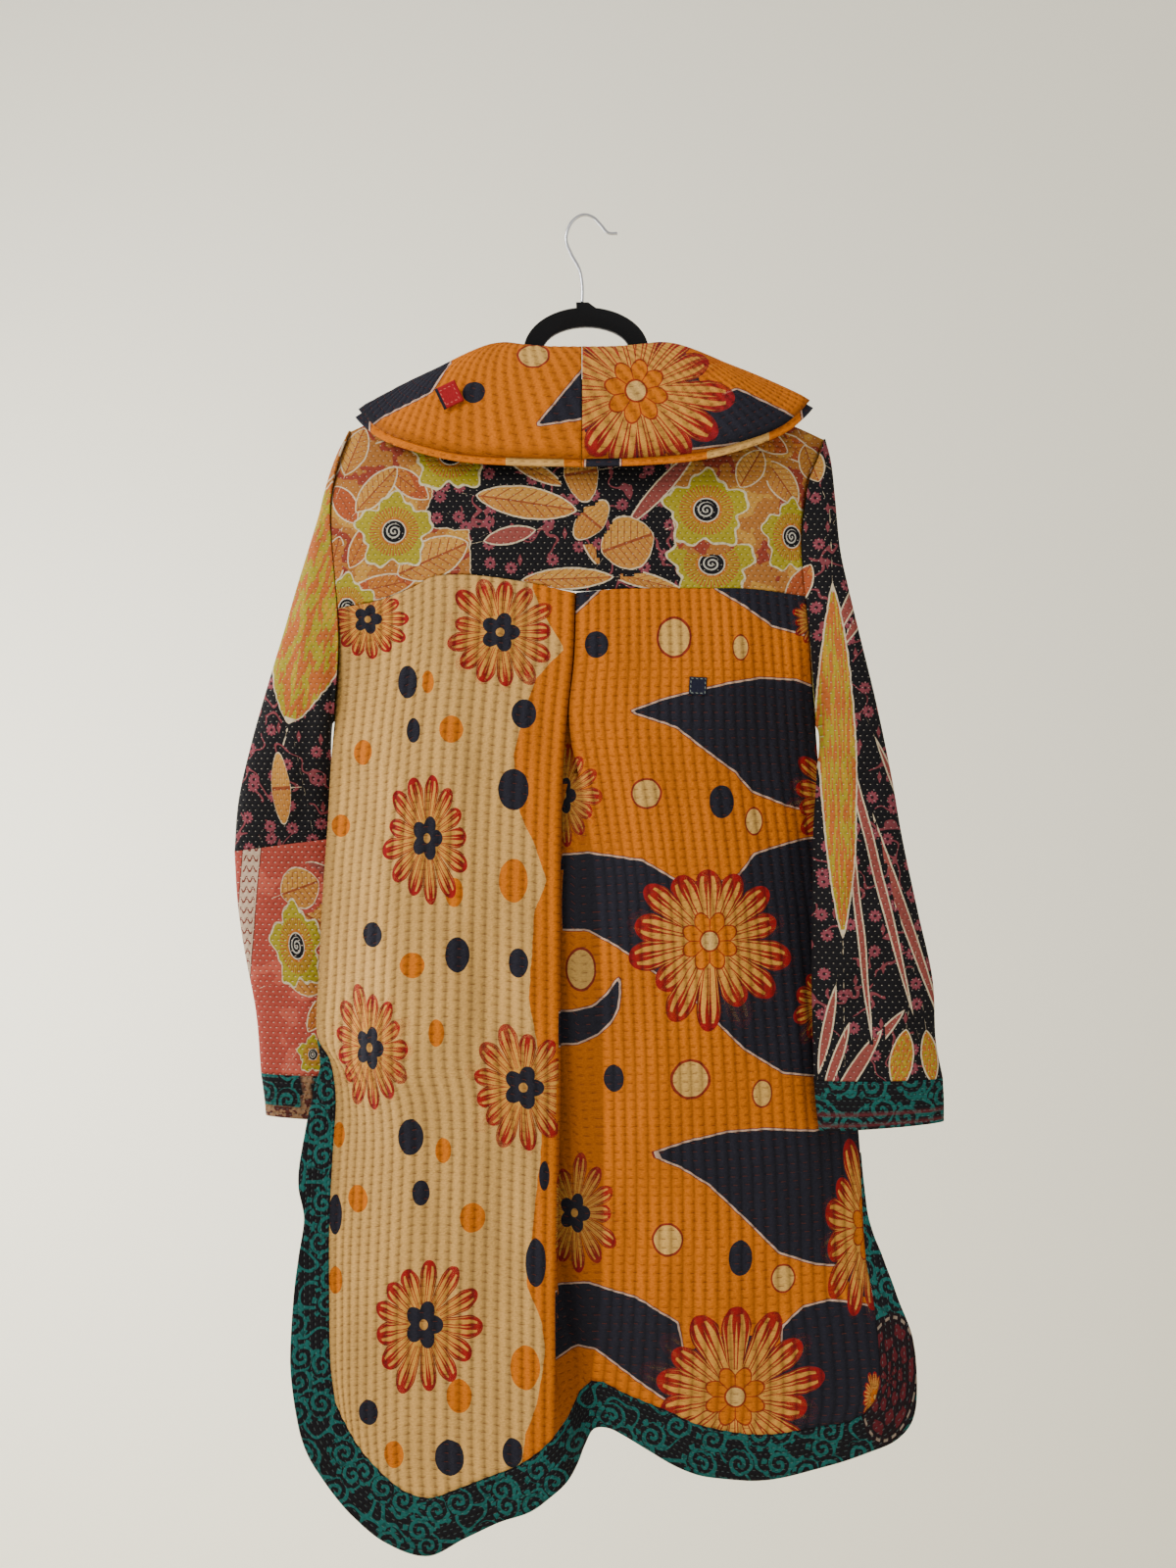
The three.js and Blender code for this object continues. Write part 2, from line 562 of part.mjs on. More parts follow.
function yokeSurface() {
  const backLeft = (t) => armholeLeft(t, -1);
  const backRight = (t) => armholeRight(t, -1);
  const inset = (point, dx) => point.setX(point.x + dx);
  const left = (v) => inset(backLeft(v * YOKE_END_LEFT), ARMHOLE_INSET);
  const right = (v) => inset(backRight(v * YOKE_END_RIGHT), -ARMHOLE_INSET);
  const surface = patch({
    top: curveThrough([left(0), ...YOKE_TOP, right(0)]),
    bottom: curveThrough([left(1), ...YOKE_SEAM, right(1)]),
    left,
    right,
    edge: { left: 0.22, right: 0.22 },
  });
  return (u, v) => {
    const point = surface(u, v);
    const fullness = YOKE_FULLNESS * Math.sin(Math.PI * v) * Math.sin(Math.PI * u) ** 0.6;
    point.y -= fullness + shoulderRound(u, v * YOKE_LENGTH);
    return point;
  };
}

function rowsAndColumns(surface, rows, cols) {
  return rows.map((v) => Array.from({ length: cols + 1 }, (_, c) => surface(c / cols, v)));
}

addPiece("back_yoke", clothWall({
  middle: rowsAndColumns(yokeSurface(), YOKE_ROWS, YOKE_COLUMNS),
}), 0xa5812f);

// Back panel: its left part, the pleat and its right part share their rows.
const BACK_ROWS = [0, 0.06, 0.12, 0.19, 0.27, 0.36, 0.45, 0.535, 0.57, 0.61, 0.69, 0.77, 0.85, 0.93, 1];
const SEAM_DROP = 1.5;
const PLEAT_HEM_START = 0.8;
const LAP = 12; // overlap over which a fold closes

function pleatPoint(v, number) {
  const column = (name) => columnAt(PLEAT, name, v);
  const hem = smooth((v - PLEAT_HEM_START) / (1 - PLEAT_HEM_START));
  const rise = (PLEAT_HEM[0]["z" + number] - PLEAT_HEM[0].z1) * hem;
  return new THREE.Vector3(column("x" + number), column("y" + number), column("z") + rise);
}

function moved(point, dx, dy, dz = 0) {
  return new THREE.Vector3(point.x + dx, point.y + dy, point.z + dz);
}

function between(a, b, count) {
  return Array.from({ length: count }, (_, i) => a.clone().lerp(b, (i + 1) / (count + 1)));
}

// The cloth hidden in the pleat, in one row: back under the left edge, out again to the right,
// and under the right edge as long as that fold is closed.
function pleatRow(v) {
  const [p1, p2, p3, p4] = [1, 2, 3, 4].map((number) => pleatPoint(v, number));
  const r = FOLD_RADIUS;
  const under = moved(p1, 0, 2 * r);
  const behind = moved(p2, 0, 2 * r);
  const folded = [
    moved(p1, r, r),
    under,
    ...between(under, p2, 2),
    p2,
    moved(p2, -r, r),
    behind,
    ...between(behind, p3, 2),
  ];
  const open = [...between(p1, p2, 4), p2, ...between(p2, p3, 4)];
  const lap = smooth((p1.x - p2.x) / LAP);
  const turned = [moved(p3, r, -r), moved(p3, 0, -2 * r), moved(p4, 0, 2 * r), moved(p4, -r, r)];
  const sloped = between(p3, p4, 4);
  const rightLap = smooth((p3.x - p4.x) / LAP);
  return [
    ...folded.map((point, i) => open[i].clone().lerp(point, lap)),
    p3,
    ...turned.map((point, i) => sloped[i].clone().lerp(point, rightLap)),
  ];
}

function backParts() {
  const inset = (point, dx) => point.setX(point.x + dx);
  const backLeft = (t) => inset(armholeLeft(t, -1), ARMHOLE_INSET);
  const backRight = (t) => inset(armholeRight(t, -1), -ARMHOLE_INSET);
  const below = (rows) => rows.map((row) => ({ x: row.x, y: row.y, z: row.z - SEAM_DROP }));
  const fold = (number) => (v) => pleatPoint(v, number);
  const sideLeft = [...below(samples(backLeft, YOKE_END_LEFT, 1, 4)), ...SIDE_LEFT];
  const sideRight = [...below(samples(backRight, YOKE_END_RIGHT, 1, 4)), ...SIDE_RIGHT];
  const left = patch({
    top: curveThrough([sideLeft[0], ...below(YOKE_SEAM.slice(0, 5)), fold(1)(0)]),
    bottom: curveThrough([SIDE_LEFT.at(-1), ...HEM_LEFT, fold(1)(1)]),
    left: curveThrough(sideLeft),
    right: fold(1),
    edge: { left: 0.4, right: 1 },
  });
  const right = patch({
    top: curveThrough([fold(4)(0), ...below(YOKE_SEAM.slice(6)), sideRight[0]]),
    bottom: curveThrough([fold(4)(1), ...HEM_RIGHT, SIDE_RIGHT.at(-1)]),
    left: fold(4),
    right: curveThrough(sideRight),
    edge: { left: 1, right: 0.5 },
  });
  return { left, right };
}

function backGrid() {
  const { left, right } = backParts();
  const across = (surface, ribs, fade, v) =>
    Array.from({ length: 2 * ribs + 1 }, (_, c) => {
      const u = c / (2 * ribs);
      const point = surface(u, v);
      point.y -= foldHeight(BACK_FOLDS, point.x, point.z) * smooth(fade(u) / EDGE_FADE);
      return point;
    });
  return BACK_ROWS.map((v) => [
    ...across(left, LEFT_RIBS, (u) => u, v),
    ...pleatRow(v),
    ...across(right, RIGHT_RIBS, (u) => 1 - u, v),
  ]);
}

const PLEAT_COLUMNS = 14;
const back = backGrid();
const firstRight = 2 * LEFT_RIBS + 1 + PLEAT_COLUMNS;

// Ribs run down the panel, fade at its side edges and leave the pleat plain.
function backRib(row, column) {
  const count = back[0].length;
  const place = column > 2 * LEFT_RIBS ? column - firstRight : column;
  const onPanel = column < 2 * LEFT_RIBS || column > firstRight;
  const nearEdge = column < 2 || column > count - 3;
  return onPanel && !nearEdge && place % 2 === 1 ? RIB_HEIGHT : 0;
}

function backInner(column) {
  const count = back[0].length;
  const pleat = column >= 2 * LEFT_RIBS && column <= firstRight;
  const place = column > 2 * LEFT_RIBS ? column - firstRight : column;
  const side = column < 8 || column > count - 9;
  return pleat || place % 4 === 0 || (side && place % 2 === 0) || column === count - 1;
}

addPiece("back_panel", clothWall({ middle: back, rib: backRib, keep: backInner }), 0xc47a12);

// Border of the back: it starts at the panel's own edge points, down one side, along the hem and
// up the other side.
function panelEdge(grid) {
  const last = back.length - 1;
  const startLeft = back.findIndex((line) => line[0].z < BORDER[0].inZ);
  const startRight = back.findIndex((line) => line.at(-1).z < BORDER.at(-1).inZ);
  const down = grid.slice(startLeft, last + 1).map((line) => line[0]);
  const up = grid.slice(startRight, last + 1).map((line) => line.at(-1)).reverse();
  return [...split(down), ...grid[last].slice(1, -1), ...split(up)];
}

// The points of a line with SIDE_PARTS equal steps between each two of them.
function split(points) {
  return points.flatMap((point, i) =>
    i === 0
      ? [point]
      : Array.from({ length: SIDE_PARTS }, (_, k) =>
          points[i - 1].clone().lerp(point, (k + 1) / SIDE_PARTS),
        ),
  );
}

// The fraction of the border's rows that lies opposite a point of the panel's edge.
function borderPlace(point) {
  let best = { away: Infinity, place: 0 };
  BORDER.slice(1).forEach((row, i) => {
    const from = BORDER[i];
    const dx = row.inX - from.inX;
    const dz = row.inZ - from.inZ;
    const t = ((point.x - from.inX) * dx + (point.z - from.inZ) * dz) / (dx * dx + dz * dz);
    const inside = Math.min(Math.max(t, 0), 1);
    const away = Math.hypot(
      point.x - from.inX - inside * dx,
      point.z - from.inZ - inside * dz,
    );
    if (away < best.away) best = { away, place: (i + inside) / (BORDER.length - 1) };
  });
  return best.place;
}

function borderGrid() {
  const edge = panelEdge(back);
  const ends = edge.map((point) => {
    const place = borderPlace(point);
    const at = (name) => columnAt(BORDER, name, place);
    return new THREE.Vector3(at("x"), at("y"), at("z"));
  });
  return BORDER_ACROSS.map((across) =>
    edge.map((point, i) => {
      const gap = Math.min(BORDER_GAP / point.distanceTo(ends[i]), 0.4);
      return point.clone().lerp(ends[i], lerp(gap, 1, across));
    }),
  );
}

const BORDER_ACROSS = [0, 0.5, 1];
// The border's inner side has the panel's own columns along the hem.
const rowsBesideBorder = back.filter((line) => line[0].z < BORDER[0].inZ).length - 1;
const firstOnHem = rowsBesideBorder * SIDE_PARTS;
function borderInner(column) {
  const place = column - firstOnHem;
  return place < 0 || place >= back[0].length || backInner(place);
}

addPiece("back_border", clothWall({
  middle: borderGrid(),
  keep: borderInner,
  firstNormals: panelEdge(gridNormals(back, false)),
}), 0x1f4a4c);

// Sleeves
function ringPoint(row, spine, angle) {
  const t = (1 - Math.cos(angle)) / 2;
  const bowed = spine(t);
  const start = spine(0);
  const end = spine(1);
  const bowX = (bowed.x - lerp(start.x, end.x, t)) * row.bow;
  const depth = row.half * Math.sin(angle);
  return new THREE.Vector3(
    lerp(row.outX, row.inX, t) + bowX,
    row.y - depth,
    lerp(row.outZ, row.inZ, t),
  );
}

function sleeveGrid(rows, armholeRows) {
  const spine = curveThrough(armholeRows);
  return rows.map((row) =>
    Array.from({ length: SLEEVE_COLUMNS }, (_, c) =>
      ringPoint(row, spine, (2 * Math.PI * c) / SLEEVE_COLUMNS),
    ),
  );
}

// The first ring stands off the armhole by the seam gap; the others are used as they are.
function offArmhole(rows, side) {
  const gap = ARMHOLE_GAP * side;
  return rows.map((row, i) => (i ? row : { ...row, outX: row.outX + gap, inX: row.inX + gap }));
}

// The same rows with the first one moved down by a seam's gap.
function fromSeam(rows) {
  return rows.map((row, i) => (i ? row : { ...row, outZ: row.outZ - 2 * SEAM, inZ: row.inZ - 2 * SEAM }));
}

const tube = (rows, armholeRows) => clothWall({ middle: sleeveGrid(rows, armholeRows), closed: true });
const leftRows = offArmhole(SLEEVE_LEFT, -1);
addPiece("sleeve_left_upper", tube(leftRows.slice(0, LEFT_PIECING + 1), ARMHOLE_LEFT), 0x6b5a30);
addPiece("sleeve_left_lower", tube(fromSeam(leftRows.slice(LEFT_PIECING)), ARMHOLE_LEFT), 0xb24739);
addPiece("sleeve_right", tube(offArmhole(SLEEVE_RIGHT, 1), ARMHOLE_RIGHT), 0x2a2024);
addPiece("cuff_left", tube(CUFF_LEFT, ARMHOLE_LEFT), 0x193839);
addPiece("cuff_right", tube(CUFF_RIGHT, ARMHOLE_RIGHT), 0x193839);

// Fronts
function frontGrid(side) {
  const isLeft = side < 0;
  const loop = isLeft ? armholeLeft : armholeRight;
  const armSide = (t) => loop(t, 1).add(new THREE.Vector3(-side * FRONT_INSET, 0, 0));
  const shoulderRows = YOKE_TOP.filter((row) => row.x * side > 75)
    .map((row) => ({ ...row, y: -row.y }));
  const top = isLeft ? shoulderRows : shoulderRows.reverse();
  const turned = (rows) => rows.map((row) => ({ ...row, x: side * row.x }));
  const sideRows = isLeft ? FRONT_SIDE_LEFT : FRONT_SIDE_RIGHT;
  const surface = patch({
    top: curveThrough([armSide(0), ...top]),
    bottom: curveThrough([sideRows.at(-1), ...turned([...FRONT_HEM, FRONT_EDGE.at(-1)])]),
    left: curveThrough([...samples(armSide, 0, 1, 9), ...sideRows]),
    right: curveThrough(turned(FRONT_EDGE)),
    edge: { left: 0.45, right: 0.9 },
  });
  const rounded = (u, v) => {
    const point = surface(u, v);
    point.y += shoulderRound(u * 0.94, v * FRONT_LENGTH);
    return point;
  };
  return rowsAndColumns(rounded, FRONT_ROWS, FRONT_COLUMNS);
}

addPiece("front_left", clothWall({ middle: frontGrid(-1).map((line) => line.reverse()) }), 0xc47a12);
addPiece("front_right", clothWall({ middle: frontGrid(1) }), 0xc47a12);

// Collar: a section rises from the neck seam, rolls over and falls to the outer edge.
function collarSection(t, side) {
  const at = (name) => columnAt(COLLAR, name, t);
  const point = (kind) => new THREE.Vector3(at(kind + "x"), at(kind + "y"), at(kind + "z"));
  const neck = point("n");
  const roll = point("r");
  const edge = point("e");
  if (side < 0) {
    const share = (edge.x / COLLAR[6].ex) ** 2;
    edge.z -= LEFT_TIP_DROP * share;
    edge.x -= LEFT_TIP_IN * share;
  }
  const bulge = new THREE.Vector3(0, at("by"), at("bz"));
  const control = roll.clone().lerp(edge, 0.5).add(bulge);
  const fall = new THREE.QuadraticBezierCurve3(roll, control, edge);
  const place = (p) => p.setX(side * (p.x + SEAM));
  return {
    stand: (s) => place(neck.clone().lerp(roll, s)),
    fall: (s) => place(fall.getPoint(s)),
  };
}

const STAND_STEPS = [0, 0.6];
const FALL_STEPS = [0, 0.07, 0.18, 0.36, 0.57, 0.78, 1];
const COLLAR_FRONT_COLUMNS = 12;

// Fractions of the collar's length: two columns a rib on the back, wider ones on the front.
function collarColumns() {
  const count = 2 * COLLAR_RIBS;
  const ribs = Array.from({ length: count }, (_, i) => (COLLAR_BACK * i) / count);
  const front = Array.from({ length: COLLAR_FRONT_COLUMNS + 1 }, (_, i) =>
    lerp(COLLAR_BACK, 1, i / COLLAR_FRONT_COLUMNS),
  );
  return [...ribs, ...front];
}

function collarGrid(side) {
  const columns = collarColumns();
  const order = side < 0 ? columns.slice().reverse() : columns;
  const sections = order.map((t) => collarSection(t, side));
  return [
    ...STAND_STEPS.map((s) => sections.map((section) => section.stand(s))),
    ...FALL_STEPS.map((s) => sections.map((section) => section.fall(s))),
  ];
}

function addCollar(name, side, colour) {
  const middle = collarGrid(side);
  const last = middle[0].length - 1;
  const fromCentre = (column) => (side < 0 ? last - column : column);
  const rib = (row, column) => {
    const place = fromCentre(column);
    const onFall = row > STAND_STEPS.length + 1 && row < middle.length;
    return onFall && place < 2 * COLLAR_RIBS && place % 2 === 1 ? COLLAR_RIB_HEIGHT : 0;
  };
  const keep = (column) => {
    const place = fromCentre(column);
    return place > 2 * COLLAR_RIBS || place % 2 === 0;
  };
  addPiece(name, clothWall({ middle, rib, keep }), colour);
  return middle;
}
const collarLeft = addCollar("collar_left", -1, 0xc47a12);
addCollar("collar_right", 1, 0xc47a12);

// Under collar: a strip under the collar's edge that stands out a little below it.
function underCollarGrid(side) {
  const columns = Array.from({ length: 17 }, (_, i) => (COLLAR_BACK * i) / 16);
  const order = side < 0 ? columns.reverse() : columns;
  const steps = [UNDER_COLLAR_FROM, 0.9, 1];
  const grid = steps.map((s) => order.map((t) => collarSection(t, side).fall(s)));
  const normals = gridNormals(grid, false);
  const shifted = grid.map((line, r) =>
    line.map((point, c) => point.addScaledVector(normals[r][c], -(WALL + 3 * SEAM))),
  );
  const below = shifted.at(-1).map((point, c) => {
    const down = point.clone().sub(shifted.at(-2)[c]).normalize();
    return point.clone().addScaledVector(down, UNDER_COLLAR_SHOWS);
  });
  return [...shifted, below];
}
addPiece("under_collar_left", clothWall({ middle: underCollarGrid(-1) }), 0xc47a12);
addPiece("under_collar_right", clothWall({ middle: underCollarGrid(1) }), 0x201e24);

// Small square patches: each lies on a piece, on points of its middle surface moved out.
function surfacePoint(grid, normals, x, z) {
  let best = { away: Infinity };
  grid.forEach((line, r) =>
    line.forEach((point, c) => {
      const away = Math.hypot(point.x - x, point.z - z);
      if (point.y < normals[r][c].y && away < best.away) best = { away, r, c, point };
    }),
  );
  const normal = normals[best.r][best.c];
  const dx = x - best.point.x;
  const dz = z - best.point.z;
  const y = best.point.y - (normal.x * dx + normal.z * dz) / normal.y;
  return { point: new THREE.Vector3(x, y, z), normal };
}

function patchSquare(grid, { x, z, turn, lift }) {
  const normals = gridNormals(grid, false);
  const centre = surfacePoint(grid, normals, x, z);
  const corners = [-0.5, 0, 0.5].map((down) =>
    [-0.5, 0, 0.5].map((across) => {
      const dx = PATCH_SIZE * (across * Math.cos(turn) - down * Math.sin(turn));
      const dz = -PATCH_SIZE * (across * Math.sin(turn) + down * Math.cos(turn));
      const dy = -(centre.normal.x * dx + centre.normal.z * dz) / centre.normal.y;
      return moved(centre.point, dx, dy, dz).addScaledVector(centre.normal, lift);
    }),
  );
  return clothWall({ middle: corners, thickness: PATCH_WALL });
}
addPiece("patch_back", patchSquare(back, PATCH_BACK), 0x1a1d2a);
addPiece("patch_collar", patchSquare(collarLeft, PATCH_COLLAR), 0x9a1620);

// Hanger
function hangerOutline() {
  const shape = new THREE.Shape();
  const { left, right, z } = ARM_END;
  shape.moveTo(left + 8, BAR.bottom);
  shape.lineTo(right - 8, BAR.bottom);
  shape.quadraticCurveTo(right + 7, BAR.bottom + 6, right, z);
  shape.lineTo(ARM_TOP.right, ARM_TOP.z);
  shape.quadraticCurveTo(ARCH.x + ARCH.radiusX + 1, ARM_TOP.z + 6, ARCH.x + ARCH.radiusX, ARCH.z);
  const bossAngle = Math.acos(BOSS.width / 2 / ARCH.radiusX);
  shape.absellipse(ARCH.x, ARCH.z, ARCH.radiusX, ARCH.radiusZ, 0, bossAngle - 0.06, false);
  shape.lineTo(BOSS.width / 2, BOSS.top);
  shape.lineTo(-BOSS.width / 2, BOSS.top);
  shape.absellipse(ARCH.x, ARCH.z, ARCH.radiusX, ARCH.radiusZ, Math.PI - bossAngle + 0.06, Math.PI, false);
  shape.quadraticCurveTo(ARCH.x - ARCH.radiusX - 1, ARM_TOP.z + 6, ARM_TOP.left, ARM_TOP.z);
  shape.lineTo(left, z);
  shape.quadraticCurveTo(left - 7, BAR.bottom + 6, left + 8, BAR.bottom);
  return shape;
}

function hangerHole() {
  const hole = new THREE.Path();
  const inner = ARCH.radiusX - ARCH.width;
  const { left, right, z } = ARM_END;
  hole.moveTo(left + 22, BAR.top);
  hole.quadraticCurveTo(left + 8, BAR.top + 1, left + 20, z - 8);
  hole.lineTo(ARM_TOP.left + 6, ARM_TOP.z - 18);
  hole.quadraticCurveTo(ARCH.x - inner, ARM_TOP.z - 6, ARCH.x - inner, ARCH.z);
  hole.absellipse(ARCH.x, ARCH.z, inner, ARCH.radiusZ - ARCH.width, Math.PI, 0, true);
  hole.quadraticCurveTo(ARCH.x + inner, ARM_TOP.z - 6, ARM_TOP.right - 6, ARM_TOP.z - 18);
  hole.lineTo(right - 20, z - 8);
  hole.quadraticCurveTo(right - 8, BAR.top + 1, right - 22, BAR.top);
  hole.lineTo(left + 22, BAR.top);
  return hole;
}

function hangerBody() {
  const shape = hangerOutline();
  shape.holes.push(hangerHole());
  const geometry = new THREE.ExtrudeGeometry(shape, {
    depth: HANGER_THICKNESS,
    bevelEnabled: false,
    curveSegments: 10,
  });
  geometry.rotateX(Math.PI / 2);
  geometry.translate(0, HANGER_THICKNESS / 2, 0);
  return geometry;
}

function hookWire() {
  const path = new THREE.CatmullRomCurve3(
    HOOK.map((row) => new THREE.Vector3(row.x, 0, row.z)),
    false,
    "centripetal",
  );
  const section = new THREE.Shape();
  section.absarc(0, 0, WIRE_RADIUS, 0, 2 * Math.PI, false);
  return new THREE.ExtrudeGeometry(section, { steps: 32, curveSegments: 4, extrudePath: path });
}
addPiece("hanger_body", hangerBody(), 0x0d0d0d, 0.95);
addPiece("hanger_hook", hookWire(), 0xc9c9cc, 0.25, 1);

export default coat;
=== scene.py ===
"""A quilted patchwork coat on a slim hanger, seen with its back towards -Y.

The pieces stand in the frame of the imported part: metres, +Z up, origin at the top of the
hanger's hook. The tables below are in millimetres.
"""

import math
from functools import partialmethod

import bmesh
import bpy
import numpy as np
from bpy.props import FloatProperty, FloatVectorProperty, IntProperty, PointerProperty
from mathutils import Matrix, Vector


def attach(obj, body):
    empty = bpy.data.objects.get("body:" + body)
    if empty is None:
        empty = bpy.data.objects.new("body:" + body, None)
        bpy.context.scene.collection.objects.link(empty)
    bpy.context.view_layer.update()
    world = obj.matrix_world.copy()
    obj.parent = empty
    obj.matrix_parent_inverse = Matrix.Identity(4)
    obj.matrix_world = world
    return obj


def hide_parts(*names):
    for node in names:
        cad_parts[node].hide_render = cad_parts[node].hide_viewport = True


bl_info = {
    "name": "Quilted patchwork coat",
    "version": (1, 0, 0),
    "blender": (4, 5, 0),
    "location": "View3D > Sidebar > Coat",
    "description": "Builds a quilted patchwork coat around its packed frame",
    "category": "Add Mesh",
}

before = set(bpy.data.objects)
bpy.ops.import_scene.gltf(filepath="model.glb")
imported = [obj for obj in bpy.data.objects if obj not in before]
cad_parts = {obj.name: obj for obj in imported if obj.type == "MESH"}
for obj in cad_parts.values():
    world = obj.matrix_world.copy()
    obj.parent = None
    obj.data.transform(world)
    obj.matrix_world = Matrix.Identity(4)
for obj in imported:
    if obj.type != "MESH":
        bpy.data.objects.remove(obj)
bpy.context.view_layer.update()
MM = 0.001
# A place so far from a motif's centre that nothing of it shows
HIDDEN_PLACE = 9.0
# A distance from a print's outline that stands for "not on this piece"
FAR_MM = 100.0

# Cloth, in millimetres
RIDGE = 0.9
# How far a sleeve's first ring reaches into the seam before it
SEAM_REACH = 1.0
ARMHOLE_INSET = 0.6
FRONT_INSET = 1.2
EDGE_FADE = 0.08
LEFT_RIBS = 21
RIGHT_RIBS = 23
RIB_PITCH = 10.9
FRONT_RIBS = 21
COLLAR_RIBS = 21
RIB_SHAPE = 0.9
FOLD_RADIUS = 1.6
SHOULDER_ROUND = 7
SHOULDER_DROP = 6
YOKE_LENGTH = 200
FRONT_LENGTH = 900
SEAM_DROP = 0.4
LAP = 12
COLLAR_BACK = 0.47
STEPS_PER_RIB = 5

# Armholes as x and z, from the shoulder point to the underarm
ARMHOLE_DEPTH = 22
ARMHOLE_LEFT = [
    (-230, -214), (-242, -253), (-247, -292), (-244, -341),
    (-240, -389), (-239, -428), (-242, -467), (-246, -501),
]
ARMHOLE_RIGHT = [
    (240, -222), (232, -243), (224, -260), (219, -285), (215, -324),
    (217, -361), (223, -413), (228, -467), (232, -506),
]
YOKE_END_LEFT = 0.62
YOKE_END_RIGHT = 0.56

# Seams and edges as x, y and z
YOKE_SEAM = [
    (-196, -31, -384), (-161, -36, -371), (-146, -38, -363), (-110, -40, -361),
    (-50, -41, -369), (-7, -42, -377), (32, -42, -375), (123, -39, -374), (163, -34, -374),
]
YOKE_TOP = [
    (-190, -0.9, -198), (-130, -0.9, -174), (-78, -2, -153), (-52, -9, -160), (0, -14, -166),
    (52, -9, -160), (78, -2, -153), (140, -0.9, -178), (198, -0.9, -204),
]
SIDE_LEFT = [
    (-249, -1, -544), (-252, -1, -600), (-257, -1, -670), (-261, -1, -750),
    (-262, -1.5, -816), (-250, -5, -836), (-243, -11, -870), (-244, -22, -924),
    (-246, -31, -990), (-245, -38, -1064), (-243, -43, -1125), (-238, -46, -1160),
]
SIDE_RIGHT = [
    (233, -1, -530), (237, -1, -570), (246, -1, -650), (258, -1, -758),
    (268, -1, -846), (275, -3, -925), (277, -11, -991), (279, -20, -1033),
    (284, -29, -1065), (287, -37, -1100), (288, -43, -1139), (283, -45, -1159),
]

# The pleat in rows from the yoke down: x1, y1, x2, y2, x3, y3, x4, y4 of its folds, and z
PLEAT = [
    (-9, -42, -46, -36, 32, -32, -3, -42, -378.4),
    (-11, -43, -49, -37, 26, -33, -5, -43, -440),
    (-17, -44, -55, -38, 12, -34, -10, -44, -500),
    (-21, -46, -59, -40, -4, -36, -2, -42, -560),
    (-23, -48, -61, -42, -25, -38, 12, -43, -650),
    (-23, -51, -60, -44, -27, -39, 18, -45, -760),
    (-23, -54, -56, -46, -26, -39, 20, -46, -860),
    (-25, -57, -50, -47, -24, -38, 20, -46, -960),
    (-26, -60, -42, -48, -20, -36, 18, -44, -1050),
    (-26, -62, -30, -48, -12, -34, 14, -39, -1120),
    (-27, -62, -14, -48, -3, -35, 9, -33, -1187),
]
# How much higher each fold ends at the hem than the first one
PLEAT_HEM_RISE = [0, 13, 33, 43]
PLEAT_HEM_START = 0.8
# Its visible edge: depths below the hook, and x at them
PLEAT_EDGE = ([379, 592, 1055], [-6.5, -20.7, -26.4])

HEM_LEFT = [
    (-229, -48, -1178), (-215, -50, -1201), (-195, -54, -1222), (-170, -59, -1240),
    (-146, -63, -1245), (-118, -66, -1235), (-92, -68, -1224), (-61, -68, -1212),
    (-41, -67, -1199),
]
HEM_RIGHT = [
    (21, -37, -1144), (40, -42, -1152), (63, -47, -1160), (84, -51, -1167),
    (107, -54, -1177), (129, -56, -1182), (160, -56, -1187), (187, -55, -1187),
    (231, -51, -1181), (252, -49, -1179), (270, -47, -1172),
]

# Border of the tail: x and z on the panel's edge, then x, y and z on the outer edge
BORDER = [
    (-262, -816, -262.9, -1.5, -817), (-250, -836, -259, -5, -841),
    (-243, -870, -265, -11, -868), (-244, -924, -275, -22, -924),
    (-245, -957, -277, -27, -957), (-246, -990, -271, -31, -988),
    (-246, -1027, -276, -35, -1026), (-245, -1064, -280, -38, -1064),
    (-243, -1125, -282, -43, -1126), (-238, -1160, -275, -46, -1178),
    (-229, -1178, -265, -48, -1209), (-215, -1201, -247, -50, -1237),
    (-195, -1222, -222, -54, -1265), (-170, -1240, -188, -59, -1290),
    (-146, -1245, -148, -63, -1301), (-118, -1235, -112, -66, -1283),
    (-92, -1224, -80, -68, -1267), (-61, -1212, -50, -68, -1257),
    (-41, -1199, -30, -67, -1243), (-27, -1187, -15, -62, -1231),
    (-14, -1174, -5, -48, -1219), (-3, -1154, 3, -35, -1204), (9, -1144, 12, -33, -1191),
    (21, -1144, 26, -37, -1189), (40, -1152, 42, -42, -1195), (63, -1160, 65, -47, -1207),
    (84, -1167, 86, -51, -1218), (107, -1177, 110, -54, -1227),
    (129, -1182, 134, -56, -1230), (160, -1187, 166, -56, -1232),
    (187, -1187, 195, -55, -1229), (231, -1181, 247, -51, -1217),
    (252, -1179, 278, -49, -1207), (270, -1172, 303, -47, -1197),
    (283, -1159, 319, -46, -1178), (288, -1139, 324, -43, -1147),
    (287, -1100, 321, -37, -1102), (284, -1065, 308, -29, -1065),
    (279, -1033, 297, -20, -1033), (277, -991, 283, -11, -993), (275, -925, 276, -3, -926),
]
BORDER_GAP = 0.2
BORDER_STITCH = 5.4
BORDER_PUFF = 0.35

# Soft folds of the back: from x, z to x, z, then width and height
BACK_FOLDS = [
    (-243, -512, -150, -575, 13, 6), (-246, -540, -170, -640, 14, -5),
    (-120, -400, -138, -760, 24, 5), (-185, -660, -160, -1150, 30, 7),
    (-80, -560, -84, -1150, 26, -6), (60, -520, 76, -1080, 24, 5),
    (150, -600, 165, -1120, 28, -5), (205, -700, 235, -1090, 22, 6),
]
